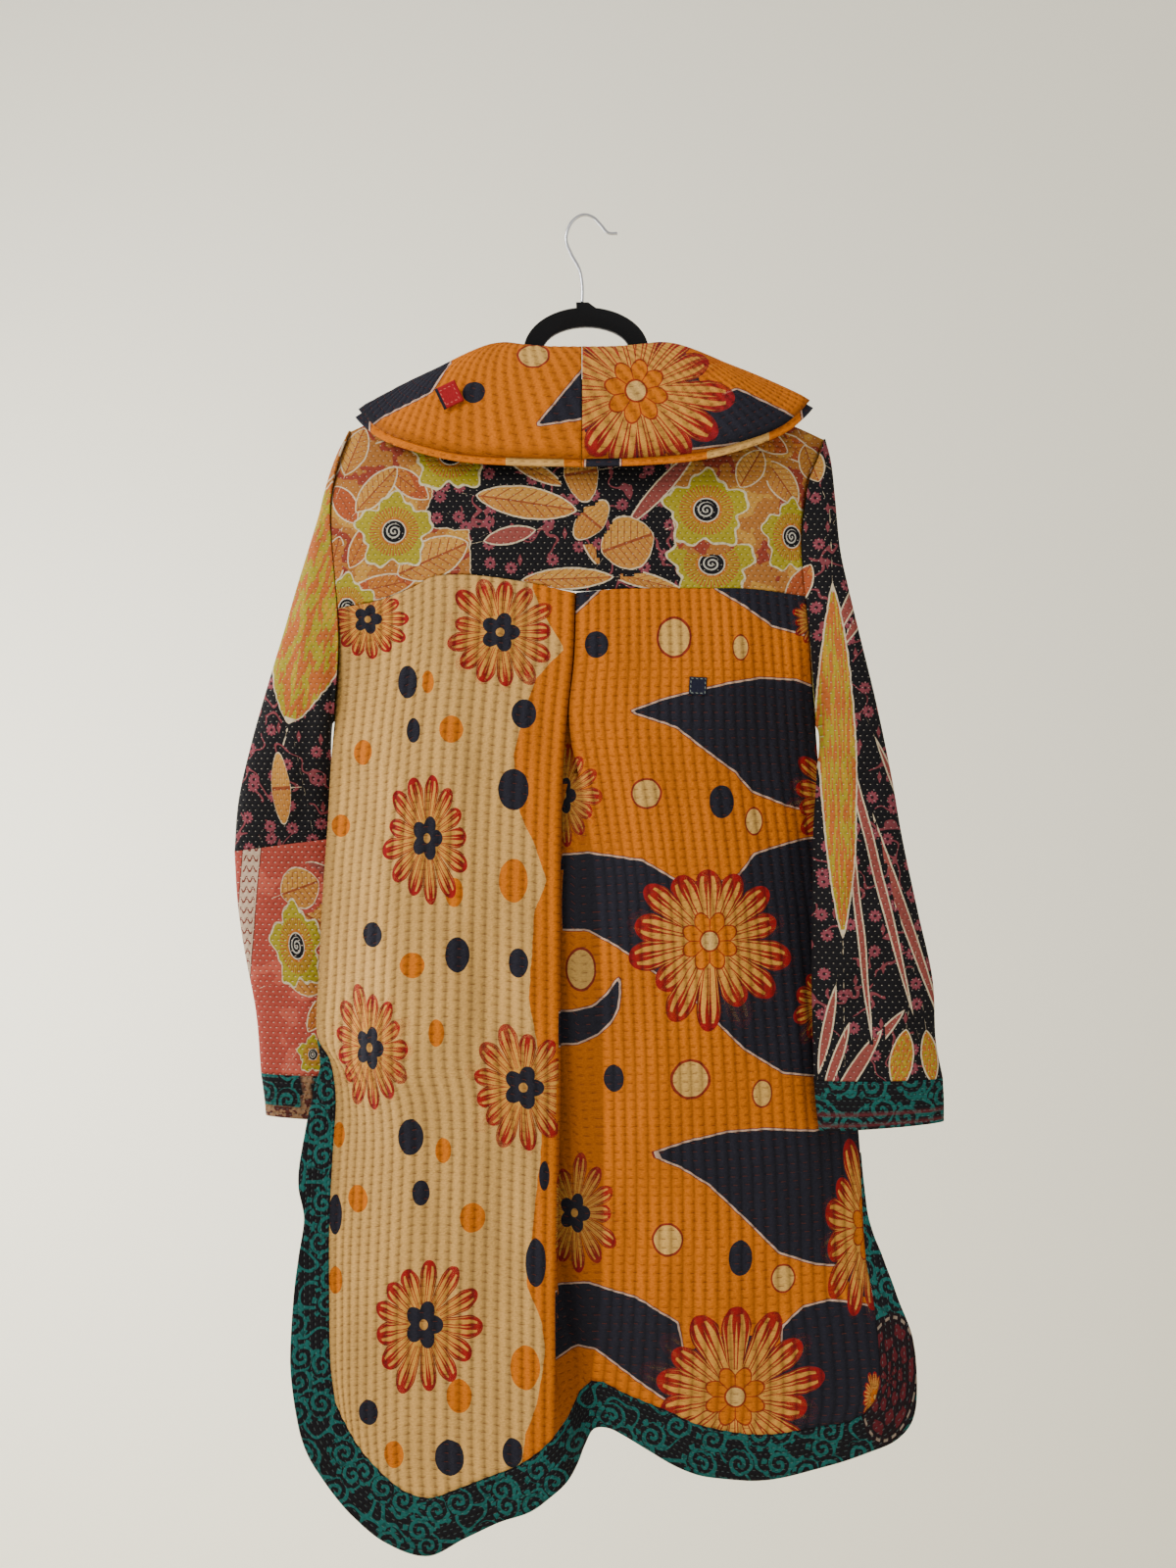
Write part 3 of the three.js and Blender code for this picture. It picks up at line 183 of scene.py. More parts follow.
# Finer creases laid over them
BACK_CREASES = [
    (-240, -520, -195, -548, 6, 2.4), (-243, -560, -180, -600, 7, 2.2),
    (-225, -470, -190, -520, 6, 1.8), (-150, -500, -160, -700, 11, 1.8),
    (-100, -640, -96, -900, 12, -1.8), (-205, -760, -215, -1000, 12, 2),
    (-120, -920, -108, -1180, 13, 2.2), (-60, -600, -48, -900, 10, 2),
    (40, -620, 36, -900, 12, 1.8), (100, -560, 104, -760, 12, -1.6),
    (110, -860, 128, -1100, 13, 2), (185, -520, 200, -640, 10, 2),
    (-150, -690, -60, -706, 6, 1.5), (60, -705, 130, -716, 6, 1.2),
    (-210, -740, -120, -752, 7, 1.4), (30, -1010, 120, -1032, 8, 1.4),
]

# Rings of the sleeves: x and z of the outer and of the inner edge, the depth of the middle,
# half the depth, and how much of the armhole's bow is left
SLEEVE_LEFT = [
    (-230.9, -214, -246.9, -501, 0, 22, 1), (-245, -243, -250, -506, 1, 22, 0.8),
    (-261, -298, -250.5, -514, 2, 22, 0.5), (-283, -368, -251, -524, 4, 21, 0.2),
    (-297, -413, -251.5, -536, 8, 20, 0), (-312, -459, -252, -554, 13, 18, 0),
    (-331, -521, -252, -575, 19, 16, 0), (-345, -579, -250, -597, 23, 15, 0),
    (-350, -632, -248, -618, 26, 15, 0), (-347, -686, -241, -668, 28, 15, 0),
    (-340, -735, -237, -715, 29, 15, 0), (-329, -795, -228, -785, 30, 14, 0),
    (-324, -856, -214, -858, 30, 14, 0),
]
LEFT_PIECING = 8
PIECING_GAP = 0.6
CUFF_LEFT = [
    (-324, -856.6, -214, -858.6, 30, 14.4, 0), (-321, -878, -210, -882, 30, 14.4, 0),
    (-319, -898, -208, -903, 30, 14.2, 0),
]
SLEEVE_RIGHT = [
    (240.9, -222, 232.9, -506, 0, 22, 1), (246, -245, 235, -511, -3, 22, 0.85),
    (249, -279, 235.5, -518, -8, 21, 0.6), (253, -332, 235, -527, -15, 20, 0.35),
    (260, -372, 233, -537, -23, 19, 0.15), (270, -420, 230, -549, -31, 18, 0),
    (285, -486, 228, -569, -37, 17, 0), (299, -557, 225, -606, -41, 16, 0),
    (309, -617, 224, -649, -43, 16, 0), (324, -688, 223, -701, -44, 16, 0),
    (338, -752, 223, -757, -44, 16, 0), (341, -810, 224, -809, -44, 16, 0),
    (348, -848, 225, -850, -44, 15, 0),
]
CUFF_RIGHT = [
    (348, -848.6, 225, -850.6, -44, 15.4, 0), (349, -869, 227, -874, -44, 15.4, 0),
    (349, -889, 230, -898, -44, 15.2, 0),
]

FRONT_SIDE_LEFT = [
    (-249, 1, -544), (-252, 1, -600), (-257, 1, -670), (-261, 1.2, -750), (-262, 2, -815),
    (-254, 6, -860), (-247, 10, -930), (-243, 15, -1010), (-236, 20, -1070),
]
FRONT_SIDE_RIGHT = [
    (233, 1, -530), (237, 1, -570), (246, 1, -650), (258, 1, -758), (267, 2, -846),
    (264, 6, -900), (258, 12, -1000), (248, 19, -1070),
]
FRONT_EDGE = [
    (78, 2, -153), (74, 13, -185), (60, 23, -260), (34, 27, -380), (16, 28, -480),
    (14, 28, -700), (14, 27, -900), (14, 25, -1112),
]
FRONT_HEM = [(222, 21, -1092), (196, 22, -1108), (120, 24, -1114)]

# Half of the collar, from the centre back to its end: the neck seam, the roll, the outer edge,
# and how far it bulges between the last two, in y and z
COLLAR = [
    (0, -14, -164, 0, -24, -138, 0, -62, -253, -9, 62),
    (28, -12, -161.5, 30, -23, -137, 62, -61, -251, -9, 60),
    (52, -9, -157.5, 55, -19, -133, 117, -59, -245, -9, 54),
    (68, -5, -153, 70, -12, -129, 162, -55, -232, -8, 45),
    (76, -1, -150, 78, -5, -127, 193, -42, -217, -6, 33),
    (78, 6, -151, 80, 3, -128, 213, -24, -199, -3, 22),
    (77, 15.5, -162, 80, 15, -133, 225, -4, -184, 0, 14),
    (74, 23, -183, 78, 29, -148, 219, 18, -190, 4, 12),
    (70, 26, -206, 73, 40, -176, 203, 36, -216, 8, 8),
    (61, 30.5, -256, 64, 45, -225, 172, 46, -268, 6, 5),
    (46, 31.5, -328, 49, 45, -300, 132, 48, -345, 4, 3),
    (28, 31.5, -412, 32, 43, -388, 84, 46, -432, 3, 2),
    (16, 32, -484, 20, 40, -470, 34, 42, -512, 1, 1),
]
COLLAR_TIP_X = 225
LEFT_TIP_DROP = 9
LEFT_TIP_IN = 4

# Printed motifs, as x, z, half width and half height
DAISIES = [
    (-209, -403, 43, 43), (-79, -417, 57, 57), (-149, -616, 45, 64), (-205, -819, 44, 62),
    (-56, -855, 58, 62), (-151, -1080, 55, 68), (-7, -979, 45, 58), (-18, -575, 38, 53),
]
LARGE_DAISIES = [
    (123, -715, 84, 87), (147, -1151, 90, 88), (282, -1001, 50, 95), (262, -577, 62, 60),
    (246, -780, 42, 58), (231, -401, 26, 26), (283, -1156, 14, 25),
]
NAVY_SPOTS = [
    (-169, -465, 9.5, 16), (-163, -512, 6.6, 12), (-56, -496, 12, 14), (-66, -569, 15, 20),
    (-203, -710, 10, 12), (-120, -728, 11.4, 17), (-61, -736, 9.5, 14), (-164, -902, 12, 17),
    (-154, -955, 8.5, 12), (-240, -983, 6.6, 19), (-36, -939, 5, 14), (-44, -1021, 9.5, 23),
    (-205, -1168, 9.5, 12), (-126, -1206, 14, 17), (-66, -1200, 9.5, 14), (14, -429, 11.5, 13),
    (135, -581, 12, 16), (31, -847, 9.5, 13), (152, -1019, 11.5, 17),
]
ORANGE_SPOTS = [
    (-149, -465, 6, 11), (-126, -511, 11.5, 13), (-214, -533, 9.5, 12), (-238, -605, 10, 11),
    (-123, -668, 8.5, 14), (-66, -657, 14, 21), (-163, -738, 12, 12), (-140, -803, 7.6, 13),
    (-238, -908, 6, 12), (-133, -915, 7.6, 12), (-217, -966, 10, 13), (-105, -979, 12, 14),
    (-239, -1045, 6.6, 13), (-54, -1120, 14, 21), (-117, -1147, 12, 16), (-180, -1206, 9.5, 13),
]
CREAM_SPOTS = [
    (89, -422, 16, 19), (154, -431, 7.6, 12), (62, -573, 14, 14), (167, -600, 8.5, 13),
    (-1, -743, 14, 20), (104, -847, 18, 18), (174, -863, 9.5, 13), (82, -1000, 14, 15),
    (194, -1041, 11.5, 13),
]
# Outlines of the dark shapes on the back, as x and z
BACK_DARK = [
    [(130, -365), (130, -374), (158, -390), (186, -409), (220, -417), (252, -422), (252, -365)],
    [(49, -494), (75, -484), (101, -477), (142, -467), (173, -461), (210, -462), (252, -477),
     (252, -594), (225, -590), (200, -584), (165, -570), (149, -552), (122, -532), (91, -508)],
    [(-37, -635), (6, -631), (58, -638), (91, -658), (123, -663), (153, -652), (167, -633),
     (200, -623), (252, -613), (252, -854), (226, -848), (195, -843), (157, -819),
     (129, -791), (101, -763), (63, -739), (36, -720), (6, -704), (-37, -704)],
    [(36, -751), (36, -767), (34, -782), (26, -795), (15, -805), (-4, -814), (-37, -816),
     (-37, -785), (-8, -784), (12, -779), (25, -767)],
    [(67, -918), (100, -907), (138, -899), (178, -898), (226, -903), (271, -903),
     (309, -924), (309, -1030), (252, -1034), (226, -1029), (191, -1016), (156, -980),
     (121, -946), (95, -930)],
    [(-37, -1052), (6, -1047), (53, -1058), (91, -1080), (110, -1170), (82, -1156),
     (53, -1137), (15, -1111), (-4, -1108), (-37, -1123)],
    [(193, -1087), (214, -1070), (238, -1066), (280, -1073), (323, -1085), (323, -1208),
     (193, -1208)],
    [(-24, -373), (19, -373), (-9, -400)],
]
BACK_CREAM = [
    [(-46, -337), (-48, -374), (-38, -398), (-17, -433), (-43, -460), (-51, -480),
     (-66, -535), (-60, -592), (-46, -621), (-34, -658), (-46, -687), (-51, -772),
     (-36, -848), (-40, -925), (-53, -1042), (-40, -1072), (-35, -1103), (-43, -1155),
     (-53, -1181), (-62, -1246), (-373, -1321), (-373, -337)],
]
COLLAR_DARK = [
    [(-231, -232), (-196, -208), (-146, -185), (-129, -153), (-131, -138), (-231, -147)],
    [(8, -157), (-42, -220), (8, -212)],
    [(105, -202), (150, -183), (207, -208), (191, -229), (138, -238), (91, -244)],
]
YOKE_AMBER = [
    [(-300, -150), (-161, -209), (-146, -280), (-160, -314), (-110, -318), (-106, -420),
     (-300, -430)],
    [(89, -251), (101, -223), (300, -160), (300, -430), (101, -386), (91, -337)],
]


# Curves and surfaces, in millimetres
def smooth(t):
    """0 below 0, 1 above 1, and a soft rise between them."""
    s = np.clip(t, 0.0, 1.0)
    return s * s * (3 - 2 * s)


def curve_through(points):
    """A smooth curve through points, taken by the fraction of its length."""
    p = np.array([(q[0], q[1], q[2]) if len(q) > 2 else (q[0], 0, q[1]) for q in points], float)
    p = np.vstack([2 * p[0] - p[1], p, 2 * p[-1] - p[-2]])
    s = np.linspace(0, 1, 20, endpoint=False)[:, None]
    parts = []
    for a, b, c, d in zip(p[:-3], p[1:-2], p[2:-1], p[3:]):
        k1, k2, k3 = (max(np.linalg.norm(y - x), 1e-6) ** 0.5 for x, y in ((a, b), (b, c), (c, d)))
        start = k2 * ((b - a) / k1 - (c - a) / (k1 + k2) + (c - b) / k2)
        end = k2 * ((c - b) / k2 - (d - b) / (k2 + k3) + (d - c) / k3)
        parts.append(
            b + start * s
            + (3 * (c - b) - 2 * start - end) * s**2
            + (2 * (b - c) + start + end) * s**3
        )
    dense = np.vstack(parts + [p[-2:-1]])
    lengths = np.concatenate([[0], np.cumsum(np.linalg.norm(np.diff(dense, axis=0), axis=1))])

    def at(t):
        along = np.clip(np.asarray(t, float), 0, 1) * lengths[-1]
        return np.stack([np.interp(along, lengths, dense[:, k]) for k in range(3)], axis=-1)

    return at


def column_at(rows, column, t):
    """One column of a table at the fraction t of its rows, with soft turns."""
    values = np.array([row[column] for row in rows], float)
    slopes = np.gradient(values)
    place = np.clip(np.asarray(t, float), 0, 1) * (len(values) - 1)
    row = np.minimum(place.astype(int), len(values) - 2)
    s = place - row
    a, b, m, n = values[row], values[row + 1], slopes[row], slopes[row + 1]
    return a + m * s + (3 * (b - a) - 2 * m - n) * s**2 + (2 * (a - b) + m + n) * s**3


def patch(top, bottom, left, right, edge):
    """A surface between four edges; its depth leaves the side edges as fast as edge says."""
    c00, c10, c01, c11 = top(0), top(1), bottom(0), bottom(1)

    def surface(u, v):
        down = v[..., None]
        across = top(u) + (bottom(u) - top(u)) * down
        left_shift = left(v) - (c00 + (c01 - c00) * down)
        right_shift = right(v) - (c10 + (c11 - c10) * down)
        near_left = np.stack([1 - u, 1 - smooth(u / edge[0]), 1 - u], axis=-1)
        near_right = np.stack([u, 1 - smooth((1 - u) / edge[1]), u], axis=-1)
        return across + left_shift * near_left + right_shift * near_right

    return surface


def away_from(x, z, x0, z0, x1, z1):
    """The distance of points from a line, and how far along it they lie."""
    dx, dz = x1 - x0, z1 - z0
    t = ((x - x0) * dx + (z - z0) * dz) / (dx * dx + dz * dz)
    inside = np.clip(t, 0, 1)
    return np.hypot(x - x0 - inside * dx, z - z0 - inside * dz), t


def fold_height(folds, x, z):
    """How far the soft folds lift the cloth at the points."""
    height = np.zeros_like(x)
    for x0, z0, x1, z1, width, rise in folds:
        away, t = away_from(x, z, x0, z0, x1, z1)
        taper = np.sqrt(np.sin(np.pi * np.clip(t, 0.02, 0.98)))
        height += rise * np.exp(-((away / width) ** 2)) * taper
    return height


def grid_normals(grid):
    """Unit normals of a grid of points: down the rows, across the columns."""
    normals = np.cross(np.gradient(grid, axis=0), np.gradient(grid, axis=1))
    return normals / np.maximum(np.linalg.norm(normals, axis=2, keepdims=True), 1e-9)


def waves(x, z, scale, seed):
    """Soft uneven waves between -1 and 1, made of a few sines."""
    rng = np.random.default_rng(seed)
    total = np.zeros_like(x)
    for _ in range(7):
        turn, phase = rng.uniform(0, 2 * np.pi, 2)
        pitch = scale * rng.uniform(0.6, 1.6)
        total += np.sin((x * np.cos(turn) + z * np.sin(turn)) * 2 * np.pi / pitch + phase)
    return total / 4


def armhole(rows):
    """Points of an armhole; t runs from the shoulder to the underarm, side is -1 at the back."""
    spine = curve_through(rows)

    def at(t, side, inset=0.0):
        point = spine(t)
        point[..., 1] = side * np.maximum(ARMHOLE_DEPTH * np.sin(np.pi * np.asarray(t)), RIDGE)
        point[..., 0] += inset
        return point

    return at


armhole_left = armhole(ARMHOLE_LEFT)
armhole_right = armhole(ARMHOLE_RIGHT)


def shoulder_round(u, distance):
    """How far the cloth bows out just below the shoulder seam."""
    inside = smooth(u / 0.06) * smooth((1 - u) / 0.06)
    rise = 1 - np.exp(-distance / SHOULDER_DROP)
    return SHOULDER_ROUND * inside * rise * (1 - smooth(distance / 160))


def yoke_grid(fullness_mm):
    """The yoke, from one armhole to the other, with soft drag folds under the collar."""

    def left(v):
        return armhole_left(v * YOKE_END_LEFT, -1, ARMHOLE_INSET)

    def right(v):
        return armhole_right(v * YOKE_END_RIGHT, -1, -ARMHOLE_INSET)

    surface = patch(
        curve_through([left(0.0), *YOKE_TOP, right(0.0)]),
        curve_through([left(1.0), *YOKE_SEAM, right(1.0)]),
        left, right, (0.22, 0.22),
    )
    down = np.concatenate([np.linspace(0, 0.1, 10, endpoint=False), np.linspace(0.1, 1, 70)])
    u, v = np.meshgrid(np.linspace(0, 1, 170), down)
    grid = surface(u, v)
    fullness = fullness_mm * np.sin(np.pi * v) * np.sin(np.pi * u) ** 0.6
    grid[..., 1] -= fullness + shoulder_round(u, v * YOKE_LENGTH)
    inside = smooth(u / 0.12) * smooth((1 - u) / 0.12) * smooth(v / 0.3) * smooth((1 - v) / 0.12)
    grid[..., 1] -= 1.5 * waves(grid[..., 0], 0.5 * grid[..., 2], 80, 11) * inside
    return grid


def pleat_point(v, number):
    """A fold of the pleat at the fraction v of the panel's height; number runs from 1 to 4."""
    x = column_at(PLEAT, 2 * number - 2, v)
    y = column_at(PLEAT, 2 * number - 1, v)
    hem = smooth((v - PLEAT_HEM_START) / (1 - PLEAT_HEM_START))
    z = column_at(PLEAT, 8, v) + PLEAT_HEM_RISE[number - 1] * hem
    return np.stack([x, y, z], axis=-1)


def between(a, b, count):
    """Evenly spaced points between a and b, without the two."""
    return [a + (b - a) * (i + 1) / (count + 1) for i in range(count)]


def pleat_columns(v):
    """The cloth hidden in the pleat: back under the left edge, out again, under the right edge."""
    p1, p2, p3, p4 = (pleat_point(v, number) for number in (1, 2, 3, 4))
    r = FOLD_RADIUS
    x, y = np.array([1.0, 0, 0]), np.array([0, 1.0, 0])
    under, behind = p1 + 2 * r * y, p2 + 2 * r * y
    folded = [
        p1 + r * (x + y), under, *between(under, p2, 2), p2, p2 + r * (y - x), behind,
        *between(behind, p3, 2),
    ]
    opened = [*between(p1, p2, 4), p2, *between(p2, p3, 4)]
    lap = smooth((p1 - p2)[..., :1] / LAP)
    turned = [p3 + r * (x - y), p3 - 2 * r * y, p4 + 2 * r * y, p4 + r * (y - x)]
    right_lap = smooth((p3 - p4)[..., :1] / LAP)
    line = [p1]
    line += [a + (b - a) * lap for a, b in zip(opened, folded)] + [p3]
    line += [a + (b - a) * right_lap for a, b in zip(between(p3, p4, 4), turned)] + [p4]
    points = []
    for a, b in zip(line[:-1], line[1:]):
        points += [a, (a + b) / 2]
    return np.stack(points[1:], axis=1)


def back_surfaces():
    """The back panel left and right of its pleat."""

    def below(points):
        return [(p[0], p[1], p[2] - SEAM_DROP) for p in points]

    def arm(loop, end, inset):
        return [tuple(loop(t, -1, inset)) for t in np.linspace(end, 1, 4)]

    side_left = below(arm(armhole_left, YOKE_END_LEFT, ARMHOLE_INSET)) + SIDE_LEFT
    side_right = below(arm(armhole_right, YOKE_END_RIGHT, -ARMHOLE_INSET)) + SIDE_RIGHT
    fold = [lambda v, n=n: pleat_point(np.asarray(v, float), n) for n in (1, 4)]
    left = patch(
        curve_through([side_left[0], *below(YOKE_SEAM[:5]), tuple(fold[0](0))]),
        curve_through([SIDE_LEFT[-1], *HEM_LEFT, tuple(fold[0](1))]),
        curve_through(side_left), fold[0], (0.4, 1),
    )
    right = patch(
        curve_through([tuple(fold[1](0)), *below(YOKE_SEAM[6:]), side_right[0]]),
        curve_through([tuple(fold[1](1)), *HEM_RIGHT, SIDE_RIGHT[-1]]),
        fold[1], curve_through(side_right), (1, 0.5),
    )
    return left, right


def back_grid(row_count):
    """The back panel as one grid: middle points, ribs' phase, and how much of a rib shows."""
    left, right = back_surfaces()
    rows = np.linspace(0, 1, row_count)
    parts, phases, shows = [], [], []
    for surface, ribs, is_left in ((left, LEFT_RIBS, True), (right, RIGHT_RIBS, False)):
        u, v = np.meshgrid(np.linspace(0, 1, ribs * STEPS_PER_RIB + 1), rows)
        grid = surface(u, v)
        fade = smooth((u if is_left else 1 - u) / EDGE_FADE)
        relief = fold_height(BACK_FOLDS + BACK_CREASES, grid[..., 0], grid[..., 2])
        grid[..., 1] -= relief * fade
        parts.append(grid)
        phases.append(u * ribs)
        shows.append(np.minimum(1, 0.25 + 0.75 * fade))
    hidden = pleat_columns(rows)
    step = np.cumsum(np.linalg.norm(np.diff(hidden, axis=1), axis=2), axis=1) / RIB_PITCH
    step = np.concatenate([step[:, :1] * 0, step], axis=1) + LEFT_RIBS
    phase_right = phases[1] + step[:, -1:]
    grid = np.concatenate([parts[0], hidden, parts[1]], axis=1)
    phase = np.concatenate([phases[0], step, phase_right], axis=1)
    show = np.concatenate([shows[0], step * 0, shows[1]], axis=1)
    rib = np.concatenate([phases[0] % 1, step * 0, phases[1] % 1], axis=1)
    return grid, phase, np.abs(np.sin(np.pi * rib)) ** RIB_SHAPE * show


def border_grid(back):
    """The border of the tail: down the left side, along the hem, up the right side."""
    table = np.array(BORDER, float)
    first = int(np.argmax(back[:, 0, 2] < table[0, 1]))
    last = int(np.argmax(back[:, -1, 2] < table[-1, 1]))
    edge = np.concatenate([back[first:-1, 0], back[-1], back[last:-1, -1][::-1]])
    best = np.full(len(edge), np.inf)
    place = np.zeros(len(edge))
    for i, (a, b) in enumerate(zip(table[:-1], table[1:])):
        away, t = away_from(edge[:, 0], edge[:, 2], a[0], a[1], b[0], b[1])
        closer = away < best
        best[closer] = away[closer]
        place[closer] = i + np.clip(t[closer], 0, 1)
    place /= len(table) - 1
    ends = np.stack([column_at(BORDER, k, place) for k in (2, 3, 4)], axis=-1)
    width = np.linalg.norm(ends - edge, axis=1, keepdims=True)
    gap = np.minimum(BORDER_GAP / np.maximum(width, 0.1), 0.4)
    across = np.linspace(0, 1, 12)[:, None, None]
    grid = edge + (ends - edge) * (gap + (1 - gap) * across)
    length = np.concatenate([[0], np.cumsum(np.linalg.norm(np.diff(edge, axis=0), axis=1))])
    soft = 1.2 * waves(grid[..., 0], grid[..., 2], 46, 5) * np.sin(np.pi * across[..., 0]) ** 0.5
    grid[..., 1] -= soft * np.minimum(1, width[:, 0] / 20)
    u = np.broadcast_to(length, grid.shape[:2]) * MM
    v = across[..., 0] * width[:, 0] * MM
    return grid, u, v


def sleeve_grid(rows, armhole_rows, row_count, seed, relief_mm=2.6):
    """A sleeve as rings round its arm, with soft folds that die out at both ends."""
    spine = curve_through(armhole_rows)
    start, end = spine(0), spine(1)
    angle, v = np.meshgrid(np.linspace(0, 2 * np.pi, 97), np.linspace(0, 1, row_count))
    out_x, out_z, in_x, in_z, y, half, bow = (column_at(rows, k, v) for k in range(7))
    t = (1 - np.cos(angle)) / 2
    bowed = spine(t)[..., 0]
    x = out_x + (in_x - out_x) * t + (bowed - (start[0] + (end[0] - start[0]) * t)) * bow
    z = out_z + (in_z - out_z) * t
    ends = smooth(v / 0.12) * smooth((1 - v) / 0.1)
    relief = relief_mm * waves(x * 1.6, z * 0.7, 62, seed) * ends * np.sin(angle) ** 2
    depth = (half + relief) * np.sin(angle)
    grid = np.stack([x, y - depth, z], axis=-1)
    reach = grid[0] - grid[1]
    grid[0] += SEAM_REACH * reach / np.linalg.norm(reach, axis=-1, keepdims=True)
    return (grid, v) if out_x[-1, 0] < in_x[-1, 0] else (grid[:, ::-1], v)


def front_grid(side):
    """One front, from its side edge to its front edge; side is -1 at the left."""
    is_left = side < 0
    loop = armhole_left if is_left else armhole_right

    def arm_side(t):
        return loop(t, 1, -side * FRONT_INSET)

    shoulder = [(x, -y, z) for x, y, z in YOKE_TOP if x * side > 75]
    if not is_left:
        shoulder.reverse()
    side_rows = FRONT_SIDE_LEFT if is_left else FRONT_SIDE_RIGHT
    hem = [(side * x, y, z) for x, y, z in [*FRONT_HEM, FRONT_EDGE[-1]]]
    surface = patch(
        curve_through([tuple(arm_side(0.0)), *shoulder]),
        curve_through([side_rows[-1], *hem]),
        curve_through([tuple(arm_side(t)) for t in np.linspace(0, 1, 9)] + side_rows),
        curve_through([(side * x, y, z) for x, y, z in FRONT_EDGE]),
        (0.45, 0.9),
    )
    down = np.concatenate([np.linspace(0, 0.03, 8, endpoint=False), np.linspace(0.03, 1, 150)])
    u, v = np.meshgrid(np.linspace(0, 1, FRONT_RIBS * 4 + 1), down)
    grid = surface(u, v)
    inside = smooth(u / 0.15) * smooth((1 - u) / 0.1) * smooth(v / 0.08)
    grid[..., 1] += shoulder_round(u * 0.94, v * FRONT_LENGTH)
    grid[..., 1] += 2.4 * waves(grid[..., 0] * 1.5, grid[..., 2] * 0.35, 90, 21) * inside
    return (grid, u, v) if not is_left else (grid[:, ::-1], u[:, ::-1], v)


def collar_sections(t, side):
    """The neck seam, roll, control point and edge of the collar's sections."""
    neck, roll, edge = (
        np.stack([column_at(COLLAR, k + i, t) for i in range(3)], axis=-1) for k in (0, 3, 6)
    )
    if side < 0:
        share = (edge[..., 0] / COLLAR_TIP_X) ** 2
        edge[..., 2] -= LEFT_TIP_DROP * share
        edge[..., 0] -= LEFT_TIP_IN * share
    control = (roll + edge) / 2
    control[..., 1] += column_at(COLLAR, 9, t)
    control[..., 2] += column_at(COLLAR, 10, t)
    return neck, roll, control, edge


def fall_point(roll, control, edge, s):
    """A point of the collar's fall, from its roll at 0 to its edge at 1."""
    return roll * (1 - s) ** 2 + control * (2 * s * (1 - s)) + edge * s**2


def collar_grid(side, seam_gap=0.3):
    """Half of the collar: a stand, a roll and a fall with slanting ribs at the back."""
    ribs = COLLAR_RIBS * STEPS_PER_RIB
    t = np.concatenate([np.linspace(0, COLLAR_BACK, ribs, endpoint=False),
                        np.linspace(COLLAR_BACK, 1, 90)])
    neck, roll, control, edge = collar_sections(t, side)
    stand = [neck + (roll - neck) * s for s in np.linspace(0, 1, 8, endpoint=False)]
    steps = np.linspace(0, 1, 46)
    grid = np.stack(stand + [fall_point(roll, control, edge, s) for s in steps])
    fall = np.concatenate([np.zeros(8), steps])[:, None]
    slant = t / COLLAR_BACK * COLLAR_RIBS + side * -5.5 * fall
    shows = smooth(fall / 0.15) * smooth((1 - fall) / 0.06)
    soft = 1.3 * waves(grid[..., 0], grid[..., 2] * 1.4, 60, 31 + side) * shows * fall
    grid[..., 1] -= soft * smooth(t / 0.06)
    grid[..., 0] = side * (grid[..., 0] + seam_gap)
    if side < 0:
        grid, slant = grid[:, ::-1], slant[:, ::-1]
    return grid, slant, np.abs(np.sin(np.pi * slant)) ** RIB_SHAPE * shows


def under_collar_grid(side, gap_mm, shows_mm):
    """A strip under the collar's edge that stands out a little below it."""
    t = np.linspace(0, COLLAR_BACK, 120)
    _, roll, control, edge = collar_sections(t, side)
    grid = np.stack([fall_point(roll, control, edge, s) for s in np.linspace(0.8, 1, 9)])
    grid[..., 0] = side * (grid[..., 0] + 0.3)
    if side < 0:
        grid = grid[:, ::-1]
    grid = grid - grid_normals(grid) * gap_mm
    down = grid[-1] - grid[-2]
    down /= np.linalg.norm(down, axis=1, keepdims=True)
    below = [grid[-1] + down * shows_mm * s for s in (0.35, 0.7, 1)]
    return np.concatenate([grid, np.stack(below)])


# Printed motifs on a piece
def signed_distance(x, z, outlines):
    """Millimetres from the nearest outline, negative inside it."""
    best = np.full(x.shape, 1e3)
    for outline in outlines:
        away = np.full(x.shape, 1e3)
        inside = np.zeros(x.shape, bool)
        for (x0, z0), (x1, z1) in zip(outline, outline[1:] + outline[:1]):
            away = np.minimum(away, away_from(x, z, x0, z0, x1, z1)[0])
            crosses = (z0 > z) != (z1 > z)
            at = (x1 - x0) * (z - z0) / ((z1 - z0) or 1e-9) + x0
            inside ^= crosses & (x < at)
        signed = np.where(inside, -away, away)
        best = np.where(signed < best, signed, best)
    return best


def local_places(x, z, face_x, face_z, motifs):
    """Corner places in the frame of the motif that each face belongs to, and its number.

    A motif is x, z, half width, half height, turn in degrees. The first motif that holds the
    face has it; a face outside of all of them goes with the nearest one.
    """
    reach = np.full(face_x.shape, np.inf)
    owner = np.zeros(face_x.shape, int)
    for number, (mx, mz, width, height, turn, *_) in enumerate(motifs):
        c, s = math.cos(math.radians(turn)), math.sin(math.radians(turn))
        dx, dz = face_x - mx, face_z - mz
        away = np.hypot((dx * c + dz * s) / (width + 5), (dz * c - dx * s) / (height + 5))
        free = reach > 1
        better = free & (away < reach)
        reach[better] = away[better]
        owner[better] = number
    table = np.array([m[:5] for m in motifs], float)[owner]
    turn = np.radians(table[:, 4])[:, None]
    dx, dz = x - table[:, :1], z - table[:, 1:2]
    across = (dx * np.cos(turn) + dz * np.sin(turn)) / table[:, 2:3]
    up = (dz * np.cos(turn) - dx * np.sin(turn)) / table[:, 3:4]
    return across, up, owner


def with_kind(motifs, kind, turn=0):
    """Motifs as x, z, half width, half height, turn, kind."""
    return [(*m[:4], m[4] if len(m) > 4 else turn, kind) for m in motifs]


